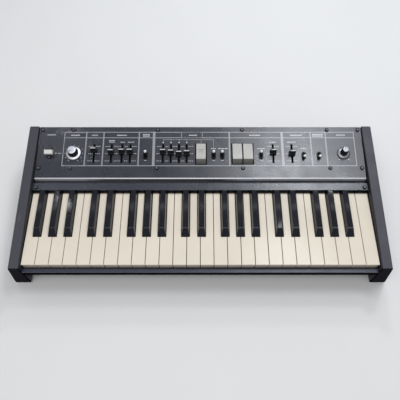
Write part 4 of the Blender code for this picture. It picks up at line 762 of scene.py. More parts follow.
class SYNTH_OT_keys(SynthStep):
    """Give the keys their cream and black plastic and round their moulded edges"""
    bl_idname = "synth.keys"
    bl_label = "Keys"

    def white(self, look):
        """Cream plastic, with painted shade between the keys, a painted shadow band at the top of each front
        face, and a painted shadow where the keys run under the strip.
        """
        plastic = Finish("key_white", look.white_color, roughness=0.15, specular=0.17)
        height, along = plastic.axis("Z"), plastic.axis("Y")
        plastic.vary(scale=18.0, amount=0.035, detail=4.0)
        # Painted shade: the sides low down between the keys are tinted brown
        low = plastic.spread(height, KEY_PLANE - 0.005, KEY_PLANE - 0.0008, to_low=0.5, to_high=0.0)
        behind = plastic.spread(along, KEY_FRONT_Y + 0.003, KEY_FRONT_Y + 0.006)
        plastic.tint(plastic.product(low, behind), (0.30, 0.24, 0.17))
        # Painted shadow: a dark band at the top of each front face, under the top's front edge
        band = plastic.product(plastic.below(height, KEY_PLANE - 0.0010, 0.0002),
                               plastic.above(height, KEY_PLANE - 0.0074, 0.0006))
        front = plastic.product(plastic.below(along, KEY_FRONT_Y + 0.0005), band)
        plastic.tint(plastic.product(front, 0.95), (0.05, 0.043, 0.034))
        # Painted shadow where the keys run under the strip
        under = plastic.spread(along, STRIP_FRONT_Y - 0.0035, STRIP_FRONT_Y - 0.001, to_low=0.0, to_high=0.93)
        plastic.tint(under, (0.03, 0.025, 0.02))
        plastic.sheen_of(low=0.12, high=0.20, scale=35.0)
        plastic.grain(scale=1800.0, distance=0.00002, strength=0.3)
        return plastic.material

    def black(self, look):
        """Polished black plastic, with a painted highlight line where the top breaks down to the front,
        stronger to the right.
        """
        plastic = Finish("key_black", look.black_color, roughness=0.07, specular=0.33)
        plastic.vary(scale=25.0, amount=0.12, detail=4.0)
        # Painted highlight along the break, stronger towards the lamps on the right
        away = plastic.math("ABSOLUTE", plastic.math("SUBTRACT", plastic.axis("Y"), BLACK_BREAK_Y))
        rim = plastic.product(plastic.below(away, 0.0007, 0.0003),
                              plastic.above(plastic.axis("Z"), KEY_PLANE + BLACK_RISE))
        highlight_toward_right = plastic.spread(plastic.axis("X"), -0.3, 0.25, to_low=0.25, to_high=0.9)
        plastic.tint(plastic.product(rim, highlight_toward_right), (0.11, 0.11, 0.13))
        plastic.sheen_of(low=0.05, high=0.09, scale=45.0, detail=3.0)
        plastic.grain(scale=900.0, distance=0.00002, strength=0.25)
        return plastic.material

    def execute(self, context):
        if len(WHITE_KEYS) != 9 or len(BLACK_KEYS) != 7:
            raise RuntimeError("the packed model doesn't have the expected keys")
        look = self.keys
        white, black = self.white(look), self.black(look)
        for name in WHITE_KEYS:
            dress(name, white)
            soften(name, look.edge, segments=2, angle=40.0)
        for name in BLACK_KEYS:
            dress(name, black)
            soften(name, look.edge * 2.8, segments=4, angle=25.0)
        return {"FINISHED"}


class SYNTH_OT_edge_trim(SynthStep):
    """Add the bright trim that covers the panel's folded front edge"""
    bl_idname = "synth.edge_trim"
    bl_label = "Front trim"

    def execute(self, context):
        metal = Finish("trim_metal", self.case.trim_color, roughness=0.40, metallic=0.25)
        drawn = metal.stretched((0.1, 1, 1))
        metal.vary(scale=60.0, amount=0.05, detail=3.0, coordinates=drawn)
        metal.sheen_of(low=0.40, high=0.52, scale=80.0, detail=3.0, coordinates=drawn)
        metal.grain(scale=1500.0, distance=0.00001, strength=0.2)
        bm = bmesh.new()
        add_block(bm, TRIM_SIZE, on_panel(0.0, *TRIM_PLACE), TRIM_ROUNDING, segments=4)
        finish_piece("panel_front_trim", bm, "case", [metal.material])
        return {"FINISHED"}


class SYNTH_OT_panel_print(SynthStep):
    """Print the section lines, scales and plain label bars on the panel"""
    bl_idname = "synth.panel_print"
    bl_label = "Panel print"

    def mark(self, bm, x, along, width, length, ink=LINE_INK):
        thick = self.ink.thickness
        add_block(bm, (width, length, thick), on_panel(x, along, thick / 2), material=ink)

    def outline(self, bm, left, right, bottom, top, line):
        middle = (left + right) / 2
        for along in (bottom, top):
            self.mark(bm, middle, along, right - left, line)
        for x in (left + line / 2, right - line / 2):
            self.mark(bm, x, (bottom + top) / 2, line, top - bottom - line)

    def bar(self, bm, left, right, along, height, pieces=3):
        """Plain bar in a few short pieces."""
        step = (right - left) / pieces
        for index in range(pieces):
            self.mark(bm, left + step * (index + 0.5), along, step - BAR_GAP, height, LABEL_INK)

    def dashes(self, bm, left, right, along, slots):
        """Row of dashes that leaves room for the slots."""
        count = int((right - left) / DASH_PITCH)
        start = (left + right - count * DASH_PITCH) / 2 + DASH_PITCH / 2
        for index in range(count):
            x = start + index * DASH_PITCH
            if all(abs(x - slot) > SLOT_CLEARANCE for slot in slots):
                self.mark(bm, x, along, *DASH, LABEL_INK)

    def sections(self, bm, line):
        """Frame of the sections, their header line and the dividers between them."""
        self.outline(bm, SECTION_EDGES[0], SECTION_EDGES[-1], LINE_BOTTOM, LINE_TOP, line)
        widths = (2 * line, *DIVIDER_WIDTHS, 2 * line)
        for index, (left, right) in enumerate(zip(SECTION_EDGES, SECTION_EDGES[1:])):
            near, far = left + widths[index] / 2, right - widths[index + 1] / 2
            self.mark(bm, (near + far) / 2, LINE_HEADER, far - near, line)
        for edge, width in zip(SECTION_EDGES[1:], DIVIDER_WIDTHS):
            self.mark(bm, edge, (LINE_BOTTOM + LINE_TOP) / 2, width, LINE_TOP - LINE_BOTTOM - line,
                      DIVIDER_INK)
        self.outline(bm, *ORGAN_HEADER, LINE_HEADER, LINE_TOP, line * 0.8)

    def organ_bracket(self, bm, slides):
        """Dots over the organ's slides, joined by a fine line with its tablet and the attack toggle."""
        for x in slides:
            add_dot(bm, ORGAN_DOT, self.ink.thickness, on_panel(x, ORGAN_DOT_ALONG), material=LABEL_INK)
        left, right = slides[0], TOGGLES["attack_toggle"][0]
        self.mark(bm, (left + right) / 2, BRACKET_ALONG, right - left + HAIRLINE, BRACKET_WIDTH)
        drops = [(x, SLIDE_DROP) for x in slides] + [(ORGAN_TABLET_X, TABLET_DROP), (right, TOGGLE_DROP)]
        for x, (along, length) in drops:
            self.mark(bm, x, along, HAIRLINE, length)

    def knob_marks(self, bm):
        """Strokes round the knobs, with a dot at either end of the turn."""
        thick = self.ink.thickness
        for x, reach, angles in KNOB_MARKS:
            for degrees in angles:
                turn = on_panel(x, KNOB_CENTRE) @ Matrix.Rotation(math.radians(-degrees), 4, "Z")
                place = turn @ Matrix.Translation((0.0, reach, 0.0))
                if degrees in (angles[0], angles[-1]):
                    add_dot(bm, KNOB_DOT, thick, place, 12, LABEL_INK)
                else:
                    add_block(bm, (*KNOB_STROKE, thick), place @ Matrix.Translation((0, 0, thick / 2)),
                              material=LABEL_INK)

    def inks(self):
        """Grey lines, lighter labels and darker dividers, in the order of their numbers."""
        made = []
        for name, tone, scale, amount in (("print_grey", 1.0, 300.0, 0.12), ("print_white", 1.6, 300.0, 0.08),
                                          ("print_band", 0.72, 200.0, 0.08)):
            finish = Finish(name, [min(1.0, c * tone) for c in self.ink.ink_color], roughness=0.33,
                            specular=0.75)
            finish.set("IOR", 1.6)
            finish.vary(scale=scale, amount=amount, detail=4.0)
            finish.grain(scale=1500.0, distance=0.00002, strength=0.3)
            made.append(finish.material)
        return made

    def execute(self, context):
        bm = bmesh.new()
        self.sections(bm, self.ink.line)
        for group, margin in SCALES.items():
            slots = [x for name, (x, _) in SLIDERS.items() if name.startswith(group)]
            for along in SCALE_ROWS:
                self.dashes(bm, min(slots) - margin, max(slots) + margin, along, slots)
        self.organ_bracket(bm, [x for name, (x, _) in SLIDERS.items() if name.startswith("organ")])
        for left, right, along, pieces in SECTION_BARS:
            self.bar(bm, left, right, along, SECTION_BAR_HEIGHT, pieces)
        for left, right, along in CONTROL_BARS:
            self.bar(bm, left, right, along, CONTROL_BAR_HEIGHT)
        for x, tilt in TOGGLES.values():
            if tilt < 0:
                self.mark(bm, x, *TOGGLE_MARK, LABEL_INK)
        add_dot(bm, POWER_DOT, self.ink.thickness, on_panel(*POWER_DOT_PLACE), material=LABEL_INK)
        self.knob_marks(bm)
        finish_piece("panel_print", bm, "case", self.inks())
        return {"FINISHED"}


class SYNTH_OT_screws(SynthStep):
    """Add the pan-head screws of the panel, the strip, the power switch, the rear fold and the underside"""
    bl_idname = "synth.screws"
    bl_label = "Screws"

    @staticmethod
    def head(bm, cutter, place, radius, turn):
        """Domed head, and the cross that is cut into it."""
        rise = radius * SCREW_RISE
        foot = [(0.0, -SCREW_SINK), (radius * 0.96, -SCREW_SINK)]
        add_turned(bm, foot + [(radius * across, rise * up) for across, up in SCREW_DOME], place, 24)
        middle = place @ Matrix.Rotation(turn, 4, "Z") @ Matrix.Translation((0, 0, rise))
        size = [radius * share for share in SCREW_RECESS]
        for angle in (0.0, math.pi / 2):
            add_block(cutter, size, middle @ Matrix.Rotation(angle, 4, "Z"), material=1)

    def execute(self, context):
        radius = self.controls.screw_head
        black = moulded("screw_black", (0.007, 0.007, 0.009), roughness=0.35, specular=0.16)
        # The cross is a lighter grey than the head
        grey_recess = moulded("screw_recess", (0.18, 0.18, 0.195), roughness=0.4)
        top = [(on_panel(x, along, SCREW_LIFT), radius, index * 0.7)
               for index, (x, along) in enumerate(PANEL_SCREWS)]
        for side in (-1, 1):
            x, y, z = STRIP_SCREW
            top.append((Matrix.Translation((side * x, y, z + SCREW_LIFT)), radius, side * 0.4))
            along = POWER[1] + side * POWER_SCREW_SPAN / 2
            top.append((on_panel(POWER[0], along, SCREW_LIFT), radius * 0.9, side * 0.9))
        back, down = Matrix.Rotation(-math.pi / 2, 4, "X"), Matrix.Rotation(math.pi, 4, "X")
        rear = [(Matrix.Translation((x, PANEL_REAR_Y, REAR_SCREW_Z)) @ back, REAR_SCREW_HEAD, x * 9)
                for x in REAR_SCREW_ROW]
        # The four corners underneath belong to the feet
        under = [(Matrix.Translation((x, y, UNDERSIDE_Z)) @ down, radius, x * 9 + y)
                 for x in UNDERSIDE_COLUMNS for y in UNDERSIDE_ROWS if abs(x) < 0.2 or abs(y) < 0.1]
        for name, screws in (("panel_screws", top), ("rear_screws", rear), ("underside_screws", under)):
            heads, recesses = bmesh.new(), bmesh.new()
            for place, size, turn in screws:
                self.head(heads, recesses, place, size, turn)
            finish_piece(name, heads, "case", [black.material, grey_recess.material],
                         carve=recesses)
        return {"FINISHED"}


class SYNTH_OT_slide_caps(SynthStep):
    """Build the slide caps with their stems and white lines, and the dust strips round the slots"""
    bl_idname = "synth.slide_caps"
    bl_label = "Slide caps"

    @staticmethod
    def cap(bm, place):
        """Finger cap drawn up from its base, hollow at front and rear, and its stem."""
        height, width, depth = CAP_LEVELS[0]
        verts = bmesh.ops.create_grid(bm, x_segments=1, y_segments=1, size=0.5)["verts"]
        bmesh.ops.scale(bm, vec=(width, depth, 1.0), verts=verts)
        bmesh.ops.translate(bm, vec=(0, 0, height), verts=verts)
        steps = [(high - low, narrow / wide, shallow / deep)
                 for (low, wide, deep), (high, narrow, shallow) in zip(CAP_LEVELS, CAP_LEVELS[1:])]
        made = verts + draw_up(bm, verts[0].link_faces[0], steps)
        bmesh.ops.transform(bm, matrix=place, verts=made)
        round_edges(bm, select_edges(made), CAP_ROUNDING)
        add_block(bm, CAP_STEM, place @ Matrix.Translation((0, 0, CAP_STEM_Z)), 0.0001, segments=1)

    @staticmethod
    def dust_strip(bm, x):
        """Thin border round a slot."""
        for side in (-1, 1):
            across = side * (DUST_WIDTH - DUST_BORDER) / 2
            along = SLOT_CENTRE + side * (DUST_LENGTH - DUST_BORDER) / 2
            add_block(bm, (DUST_BORDER, DUST_LENGTH, DUST_THICK),
                      on_panel(x + across, SLOT_CENTRE, DUST_THICK / 2))
            add_block(bm, (DUST_WIDTH - 2 * DUST_BORDER, DUST_BORDER, DUST_THICK),
                      on_panel(x, along, DUST_THICK / 2))

    def execute(self, context):
        black = black_plastic(self.controls)
        white = moulded("cap_line", [c * 0.72 for c in self.controls.tip_color], roughness=0.35).material
        strips = bmesh.new()
        for name, (x, rest) in SLIDERS.items():
            bm = bmesh.new()
            self.cap(bm, on_panel(x, rest))
            finish_piece(name + "_cap", bm, name, [black], stands_for=[name])
            bm = bmesh.new()
            add_block(bm, CAP_LINE, on_panel(x, rest, CAP_LINE_Z), 0.0003)
            finish_piece(name + "_line", bm, name, [white])
            self.dust_strip(strips, x)
        felt = Finish("dust_strip", (0.006, 0.006, 0.006), roughness=0.9, specular=0.2)
        felt.vary(scale=500.0, amount=0.3)
        felt.grain(scale=1600.0, distance=0.0001, strength=0.6)
        finish_piece("slot_dust_strips", strips, "case", [felt.material])
        return {"FINISHED"}


class SYNTH_OT_toggles(SynthStep):
    """Turn the bat levers of the toggle switches, with their white tips"""
    bl_idname = "synth.toggles"
    bl_label = "Toggles"

    def execute(self, context):
        black = black_plastic(self.controls)
        white = moulded("tip_plastic", self.controls.tip_color, roughness=0.30).material
        for name, (x, tilt) in TOGGLES.items():
            lean = on_panel(x, TOGGLE_CENTRE, TOGGLE_PIVOT) @ Matrix.Rotation(tilt * TOGGLE_TILT, 4, "X")
            bm = bmesh.new()
            add_turned(bm, LEVER_PROFILE, lean, 20)
            finish_piece(name + "_lever", bm, name, [black], stands_for=[name])
            bm = bmesh.new()
            add_turned(bm, TIP_PROFILE, lean, 20)
            finish_piece(name + "_tip", bm, name, [white])
        return {"FINISHED"}


class SYNTH_OT_tablets(SynthStep):
    """Finish the rocker tablets: ribs across their tops and plain bars on the wide one"""
    bl_idname = "synth.tablets"
    bl_label = "Tablets"

    def execute(self, context):
        cream = Finish("tablet_plastic", self.controls.tablet_color, roughness=0.30)
        flat = cream.panel_coordinates()
        along = cream.axis("Y", flat)
        cream.vary(scale=60.0, amount=0.05)
        # Painted shade on the tablets' front faces, darker towards their bottom
        front = cream.spread(along, TABLET_BREAK - 0.0006, TABLET_BREAK + 0.0006, to_low=1.0, to_high=0.0)
        shade_fall = cream.spread(along, TABLET_FRONT, TABLET_BREAK, to_low=0.92, to_high=0.66)
        cream.tint(cream.product(front, shade_fall), (0.055, 0.052, 0.046))
        # Painted shade where the tablets meet the panel
        low = cream.spread(cream.axis("Z", flat), -0.001, 0.002, to_low=0.5, to_high=0.0)
        cream.tint(low, (0.10, 0.095, 0.085))
        ribs = cream.math("SINE", cream.product(along, 2 * math.pi / RIB_PITCH))
        cream.relief(ribs, distance=0.00007, strength=0.6)
        cream.sheen_of(low=0.24, high=0.38, scale=90.0)
        for name in TABLETS:
            dress(name, cream.material)
            soften(name, 0.0005, segments=3, angle=25.0)
        ink = Finish("tablet_ink", (0.16, 0.155, 0.145), roughness=0.5)
        ink.vary(scale=400.0, amount=0.2)
        bm = bmesh.new()
        tilt = Matrix.Rotation(TABLET_BAR_TILT, 4, "X")
        for bar_along, height in TABLET_BAR_PLACES:
            add_block(bm, TABLET_BAR, on_panel(ORGAN_TABLET_X, bar_along, height) @ tilt, 0.0001, segments=1)
        finish_piece("organ_tablet_bars", bm, "organ_tablet", [ink.material])
        return {"FINISHED"}


class SYNTH_OT_knobs(SynthStep):
    """Build the volume and tune knobs: spun skirt, fluted grip and bright cap with a pointer line"""
    bl_idname = "synth.knobs"
    bl_label = "Knobs"

    def metal(self, name, x, tone):
        """Spun metal with rings about the knob's own axis."""
        # The tone scales the metal's colour per knob: painted light above 1, painted shade below 1
        metal = bright_metal(name + "_metal", [c * tone for c in self.controls.metal_color], roughness=0.42)
        flat = metal.panel_coordinates()
        across = metal.math("SUBTRACT", metal.axis("X", flat), x)
        along = metal.math("SUBTRACT", metal.axis("Y", flat), KNOB_CENTRE)
        distance = metal.math("SQRT", metal.squared_distance(across, along))
        metal.relief(metal.math("SINE", metal.product(distance, 2 * math.pi / KNOB_RING_PITCH)),
                     distance=0.00002, strength=0.5)
        return metal.material

    def grip(self, bm, base, foot, cap, height):
        """Fluted grip, drawn up from a notched ring and in to the cap."""
        flutes = self.controls.flutes
        ring = bmesh.ops.create_circle(bm, cap_ends=True, segments=flutes * 4, radius=foot)["verts"]
        hollows = [vert for index, vert in enumerate(ring) if index % 4 in (1, 2)]
        inward = 1 - FLUTE_DEPTH / foot
        bmesh.ops.scale(bm, vec=(inward, inward, 1.0), verts=hollows)
        bmesh.ops.translate(bm, vec=(0, 0, GRIP_FOOT_Z), verts=ring)
        taper = cap / foot
        made = ring + draw_up(bm, ring[0].link_faces[0], (
            (0.0012, 1.0, 1.0), (height - 0.0062, taper, taper), (0.0008, 0.955, 0.955)))
        bmesh.ops.transform(bm, matrix=base, verts=made)
        number_faces(made, 1)

    def build(self, name, x, skirt, foot, cap, height, pointer, tone, flange=0.0):
        metal = self.metal(name, x, tone)
        base = on_panel(x, KNOB_CENTRE)
        top = height - 0.0012
        bm = bmesh.new()
        add_turned(bm, [(KNOB_BORE, 0.0008), (skirt - 0.0004, 0.0008), (skirt, 0.0012), (skirt, 0.0018),
                        (skirt - 0.0004, 0.0022), (foot + 0.0016, 0.0030), (foot + 0.0006, 0.0034),
                        (foot - 0.001, 0.0034), (KNOB_BORE, 0.0034), (KNOB_BORE, 0.0008)], base, 64)
        self.grip(bm, base, foot, cap, height)
        add_turned(bm, [(0.0, top - 0.002), (cap * 0.93, top - 0.002), (cap * 0.93, top + 0.0004),
                        (cap * 0.90, top + 0.0010), (cap * 0.84, top + 0.0012), (cap * 0.30, top + 0.0010),
                        (0.0, top + 0.0010)], base, 64)
        if flange:
            add_turned(bm, [(KNOB_BORE, 0.0002), (skirt + flange, 0.0002), (skirt + flange, 0.0006),
                            (skirt, 0.0010), (KNOB_BORE, 0.0010), (KNOB_BORE, 0.0002)], base, 64, 1)
        turn = base @ Matrix.Rotation(pointer, 4, "Z")
        add_block(bm, (0.0010, cap * 0.78, 0.0010), turn @ Matrix.Translation((0, cap * 0.56, top + 0.00075)),
                  0.0001, segments=1, material=1)
        add_block(bm, (0.0008, 0.0026, 0.0006), turn @ Matrix.Translation((0, skirt - 0.0022, 0.0024)),
                  0.0001, segments=1, material=1)
        finish_piece(name + "_turned", bm, name, [metal, black_plastic(self.controls)],
                     stands_for=[name])

    def execute(self, context):
        for name, sizes in KNOBS.items():
            self.build(name, **sizes)
        return {"FINISHED"}


class SYNTH_OT_power_paddle(SynthStep):
    """Finish the power paddle and its switch body"""
    bl_idname = "synth.power_paddle"
    bl_label = "Power paddle"

    def execute(self, context):
        cream = moulded("paddle_plastic", [c * 1.52 for c in self.controls.tablet_color], roughness=0.32)
        height = cream.axis("Z", cream.panel_coordinates())
        # Painted shade where the paddle meets the panel
        cream.tint(cream.spread(height, 0.0, 0.004, to_low=0.5, to_high=0.0), (0.16, 0.15, 0.13))
        dress("power_rocker", cream.material)
        soften("power_rocker", 0.0006, segments=3, angle=30.0)
        dress("power_switch_body", black_plastic(self.controls))
        return {"FINISHED"}


class SYNTH_OT_sockets(SynthStep):
    """Add the socket nuts and washers and finish the rear wall's fittings"""
    bl_idname = "synth.sockets"
    bl_label = "Rear sockets"

    @staticmethod
    def nut(bm, place):
        """Six-sided nut with rounded corners and an open bore."""
        edges = []
        for sides, radius in ((6, NUT_RADIUS), (24, JACK_BORE)):
            ring = bmesh.ops.create_circle(bm, cap_ends=False, segments=sides, radius=radius, matrix=place)
            edges += select_edges(ring["verts"])
        ring = bmesh.ops.bridge_loops(bm, edges=edges)["faces"]
        verts, _ = extrude(bm, ring, place.to_3x3() @ Vector((0, 0, NUT_THICK)))
        inner = (NUT_RADIUS + JACK_BORE) / 2
        middle = place.translation
        rim = select_edges(verts, lambda edge: all((vert.co - middle).length > inner for vert in edge.verts))
        round_edges(bm, rim, 0.0003)

    @staticmethod
    def inlet():
        """Black moulding with the two bright ends of its pins."""
        plastic = moulded("inlet_plastic", (0.012, 0.012, 0.012), roughness=0.35)
        aside = plastic.math("ABSOLUTE", plastic.math("SUBTRACT", plastic.axis("X"), INLET_X))
        across = plastic.math("SUBTRACT", aside, INLET_PIN)
        upward = plastic.math("SUBTRACT", plastic.axis("Z"), JACK_HEIGHT)
        pins = plastic.spread(plastic.squared_distance(across, upward), 0.0000019, 0.0000022, to_low=1.0,
                              to_high=0.0)
        plastic.tint(pins, (0.78, 0.76, 0.70))
        plastic.switch("Metallic", pins, off=0.0, on=1.0)
        return plastic.material

    def execute(self, context):
        metal = bright_metal("nut_metal", (0.72, 0.71, 0.69), roughness=0.28, stretch=(1, 3, 1))
        back = Matrix.Rotation(-math.pi / 2, 4, "X")
        bm = bmesh.new()
        for index, x in enumerate(JACKS):
            place = Matrix.Translation((x, REAR_WALL_Y, JACK_HEIGHT)) @ back
            add_turned(bm, [(JACK_BORE, 0.0), (WASHER_RADIUS, 0.0), (WASHER_RADIUS, WASHER_THICK - 0.0002),
                            (WASHER_RADIUS - 0.0004, WASHER_THICK), (JACK_BORE, WASHER_THICK),
                            (JACK_BORE, 0.0)], place, 32)
            turn = Matrix.Rotation(index * 0.5, 4, "Z") @ Matrix.Translation((0, 0, WASHER_THICK))
            self.nut(bm, place @ turn)
        finish_piece("socket_nuts", bm, "case", [metal.material])
        board = circuit_board("socket_board")
        past = board.above(board.axis("Y"), REAR_WALL_Y - 0.004, 0.0003)
        board.tint(past, (0.62, 0.61, 0.59))
        board.switch("Metallic", past, off=0.0, on=1.0)
        dress("jack_board", board.material)
        dress("mains_inlet", self.inlet())
        soften("mains_inlet", 0.0004, segments=2, angle=40.0)
        return {"FINISHED"}


class SYNTH_OT_inside(SynthStep):
    """Finish what is inside the case: boards, key frame, springs, felts and transformer"""
    bl_idname = "synth.inside"
    bl_label = "Inside"

    @staticmethod
    def boards():
        """Circuit boards, each with what stands on it in its own colour."""
        contacts_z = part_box("contact_board")[1].z - CONTACT_RISE
        chips_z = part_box("generator_board")[0].z + CHIP_RISE
        for node, name, face, softness, color in (
                ("panel_board", "control_board", BODY_FLOOR + 0.0008, 0.0001, (0.010, 0.010, 0.011)),
                ("contact_board", "contact_board_resin", contacts_z, 0.0002, (0.05, 0.05, 0.055)),
                ("generator_board", "sound_board", chips_z, 0.0001, (0.016, 0.016, 0.017))):
            board = circuit_board(name)
            coordinates = board.panel_coordinates() if node == "panel_board" else board.coordinates
            board.tint(board.above(board.axis("Z", coordinates), face, softness), color)
            dress(node, board.material)

    @staticmethod
    def frame_steel():
        """Zinc-coated steel with its flowers of zinc."""
        steel = Finish("frame_metal", (0.46, 0.47, 0.48), roughness=0.38, metallic=1.0)
        spangle = steel.node("ShaderNodeTexVoronoi", {"Vector": steel.coordinates, "Scale": 180.0})
        tone = steel.axis("X", spangle.outputs["Color"])
        steel.tint(steel.spread(tone, 0.0, 1.0, to_low=0.0, to_high=0.35), (0.62, 0.63, 0.64))
        steel.sheen_of(low=0.30, high=0.46, scale=90.0)
        steel.grain(scale=900.0, distance=0.00003, strength=0.4)
        return steel.material

    @staticmethod
    def transformer():
        """Iron sheets, with the taped coil at front and rear."""
        core = bright_metal("transformer_iron", (0.30, 0.30, 0.31), roughness=0.45, stretch=(30, 1, 1))
        near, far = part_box("power_transformer")
        away = core.math("ABSOLUTE", core.math("SUBTRACT", core.axis("Y"), (near.y + far.y) / 2))
        coil = core.above(away, COIL_REACH)
        core.tint(coil, (0.45, 0.30, 0.05))
        core.switch("Metallic", coil, off=1.0, on=0.0)
        return core.material

    def execute(self, context):
        self.boards()
        dress("key_frame", self.frame_steel())
        felt = Finish("red_felt", (0.30, 0.025, 0.03), roughness=0.95, specular=0.1)
        felt.vary(scale=500.0, amount=0.25, detail=5.0)
        felt.grain(scale=1600.0, distance=0.0003, strength=0.8, detail=4.0)
        felt.set("Sheen Weight", 0.4)
        for name in ("down_stop_felt", "rest_felt"):
            dress(name, felt.material)
        dress("power_transformer", self.transformer())
        return {"FINISHED"}


class SYNTH_OT_key_springs(SynthStep):
    """Build the comb of return springs: one foot strip, and a bending leaf under each key's tail"""
    bl_idname = "synth.key_springs"
    bl_label = "Key springs"

    @staticmethod
    def leaf(bm, x):
        """Leaf that rises from the foot strip and lies flat under the tail."""
        place = Matrix.Translation((x, (LEAF_ROOT + LEAF_END) / 2, 0))
        size = Matrix.Diagonal((LEAF_WIDTH, LEAF_END - LEAF_ROOT, 1, 1))
        made = bmesh.ops.create_grid(
            bm, x_segments=1, y_segments=LEAF_STEPS, size=0.5, matrix=place @ size)["verts"]
        for vert in made:
            share = (vert.co.y - LEAF_BEND) / (LEAF_TIP - LEAF_BEND)
            vert.co.z = LEAF_LOW + (LEAF_HIGH - LEAF_LOW) * min(1.0, max(0.0, share))
        faces = list({face for vert in made for face in vert.link_faces})
        extrude(bm, faces, (0, 0, LEAF_SHEET))

    @staticmethod
    def leaves():
        """Places of the leaves, listed by the key whose tail lies over each."""
        ends = sorted({round(vert.co.x, 5) for vert in NODES["key_springs"].data.vertices
                       if vert.co.y > COMB_HIGH.y - 0.0001})
        found = {}
        for left, right in zip(ends[::2], ends[1::2]):
            x = (left + right) / 2
            over = [(NODES[name].ray_cast((x, LEAF_TIP + 0.002, LEAF_HIGH), (0, 0, 1)), name)
                    for name in WHITE_KEYS + BLACK_KEYS]
            nearest = min((hit[1].z, name) for hit, name in over if hit[0])
            found.setdefault(nearest[1], []).append(x)
        return found

    def execute(self, context):
        steel = bright_metal("spring_steel", (0.50, 0.50, 0.52), roughness=0.30, stretch=(1, 0.1, 1)).material
        bm = bmesh.new()
        middle = ((COMB_LOW.x + COMB_HIGH.x) / 2, (LEAF_ROOT + COMB_LOW.y) / 2, LEAF_LOW + LEAF_SHEET / 2)
        add_block(bm, (COMB_HIGH.x - COMB_LOW.x, LEAF_ROOT - COMB_LOW.y, LEAF_SHEET),
                  Matrix.Translation(middle))
        finish_piece("spring_foot", bm, "case", [steel], stands_for=["key_springs"])
        for name, places in self.leaves().items():
            bm = bmesh.new()
            for x in places:
                self.leaf(bm, x)
            piece = finish_piece(name + "_spring", bm, None, [steel])
            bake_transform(piece)
        return {"FINISHED"}


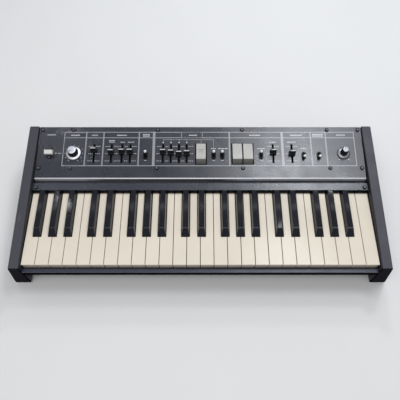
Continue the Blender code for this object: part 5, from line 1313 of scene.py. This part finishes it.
class SYNTH_OT_stage(bpy.types.Operator):
    """Set the floor, the soft lamps, the room light and the camera"""
    bl_idname = "synth.stage"
    bl_label = "Stage"

    @staticmethod
    def floor(look):
        bm = bmesh.new()
        bmesh.ops.create_grid(bm, x_segments=8, y_segments=8, size=FLOOR_REACH)
        mesh = bpy.data.meshes.new("floor")
        bm.to_mesh(mesh)
        bm.free()
        floor = bpy.data.objects.new("floor", mesh)
        bpy.context.scene.collection.objects.link(floor)
        pale = Finish("floor_pale", look.floor_color, roughness=0.9, specular=0.1)
        pale.vary(scale=6.0, amount=0.01)
        mesh.materials.append(pale.material)

    @staticmethod
    def room(look):
        """Even light on all that is dull, and a bluer, brighter room where it is mirrored or seen."""
        world = bpy.data.worlds.new("room")
        bpy.context.scene.world = world
        world.use_nodes = True
        nodes, links = world.node_tree.nodes, world.node_tree.links
        nodes.clear()
        mix = nodes.new("ShaderNodeMixShader")
        lights = ((ROOM_EVEN, look.sky), (ROOM_SEEN, ROOM_SEEN_STRENGTH))
        for slot, (color, strength) in enumerate(lights, start=1):
            light = nodes.new("ShaderNodeBackground")
            light.inputs["Color"].default_value = (*color, 1.0)
            light.inputs["Strength"].default_value = strength
            links.new(light.outputs[0], mix.inputs[slot])
        path = nodes.new("ShaderNodeLightPath")
        direct = path.outputs["Is Camera Ray"]
        for kind in ("Is Glossy Ray", "Is Transmission Ray"):
            either = nodes.new("ShaderNodeMath")
            either.operation = "MAXIMUM"
            links.new(direct, either.inputs[0])
            links.new(path.outputs[kind], either.inputs[1])
            direct = either.outputs[0]
        links.new(direct, mix.inputs[0])
        links.new(mix.outputs[0], nodes.new("ShaderNodeOutputWorld").inputs["Surface"])

    @staticmethod
    def lamp(name, power, size, place, target, color):
        data = bpy.data.lights.new(name, "AREA")
        data.energy = power
        data.color = color
        data.shape = "RECTANGLE"
        data.size, data.size_y = size
        lamp = bpy.data.objects.new(name, data)
        bpy.context.scene.collection.objects.link(lamp)
        lamp.location = place
        lamp.rotation_euler = (Vector(target) - Vector(place)).to_track_quat("-Z", "Y").to_euler()

    def execute(self, context):
        look = context.scene.synth_stage
        self.floor(look)
        self.room(look)
        self.lamp("main_lamp", look.key_power, *MAIN_LAMP, WARM_LIGHT)
        for name, (share, size, place, target) in REAR_LAMPS.items():
            self.lamp(name, look.sheen_power * share, size, place, target, COOL_LIGHT)
        data = bpy.data.cameras.new("photo_view")
        data.sensor_width = CAMERA_SENSOR
        data.lens = CAMERA_LENS
        camera = bpy.data.objects.new("photo_view", data)
        context.scene.collection.objects.link(camera)
        camera.location = CAMERA_PLACE
        camera.rotation_euler = (CAMERA_TILT, 0.0, 0.0)
        context.scene.camera = camera
        context.scene.view_settings.view_transform = "Standard"
        return {"FINISHED"}


STEPS = (SYNTH_OT_case, SYNTH_OT_keys, SYNTH_OT_edge_trim, SYNTH_OT_panel_print, SYNTH_OT_screws,
         SYNTH_OT_slide_caps, SYNTH_OT_toggles, SYNTH_OT_tablets, SYNTH_OT_knobs, SYNTH_OT_power_paddle,
         SYNTH_OT_sockets, SYNTH_OT_inside, SYNTH_OT_key_springs, SYNTH_OT_stage)
LOOKS = {"synth_case": SynthCaseLook, "synth_keys": SynthKeyLook, "synth_print": SynthPrintLook,
         "synth_controls": SynthControlLook, "synth_stage": SynthStageLook}


class SYNTH_PT_finish(bpy.types.Panel):
    """Sidebar list of the looks and the finishing steps"""
    bl_idname = "SYNTH_PT_finish"
    bl_label = "Synthesizer"
    bl_space_type = "VIEW_3D"
    bl_region_type = "UI"
    bl_category = "Synthesizer"

    def draw(self, context):
        for name, look in LOOKS.items():
            box = self.layout.box()
            box.label(text=name.replace("synth_", "").capitalize())
            for key in look.__annotations__:
                box.prop(getattr(context.scene, name), key)
        for step in STEPS:
            self.layout.operator(step.bl_idname)


def register():
    for look in LOOKS.values():
        bpy.utils.register_class(look)
    for name, look in LOOKS.items():
        setattr(bpy.types.Scene, name, PointerProperty(type=look))
    for step in STEPS:
        bpy.utils.register_class(step)
    bpy.utils.register_class(SYNTH_PT_finish)


def unregister():
    bpy.utils.unregister_class(SYNTH_PT_finish)
    for step in reversed(STEPS):
        bpy.utils.unregister_class(step)
    for name in LOOKS:
        delattr(bpy.types.Scene, name)
    for look in reversed(list(LOOKS.values())):
        bpy.utils.unregister_class(look)


def main():
    register()
    for step in STEPS:
        group, name = step.bl_idname.split(".")
        getattr(getattr(bpy.ops, group), name)()


if __name__ == "__main__":
    main()
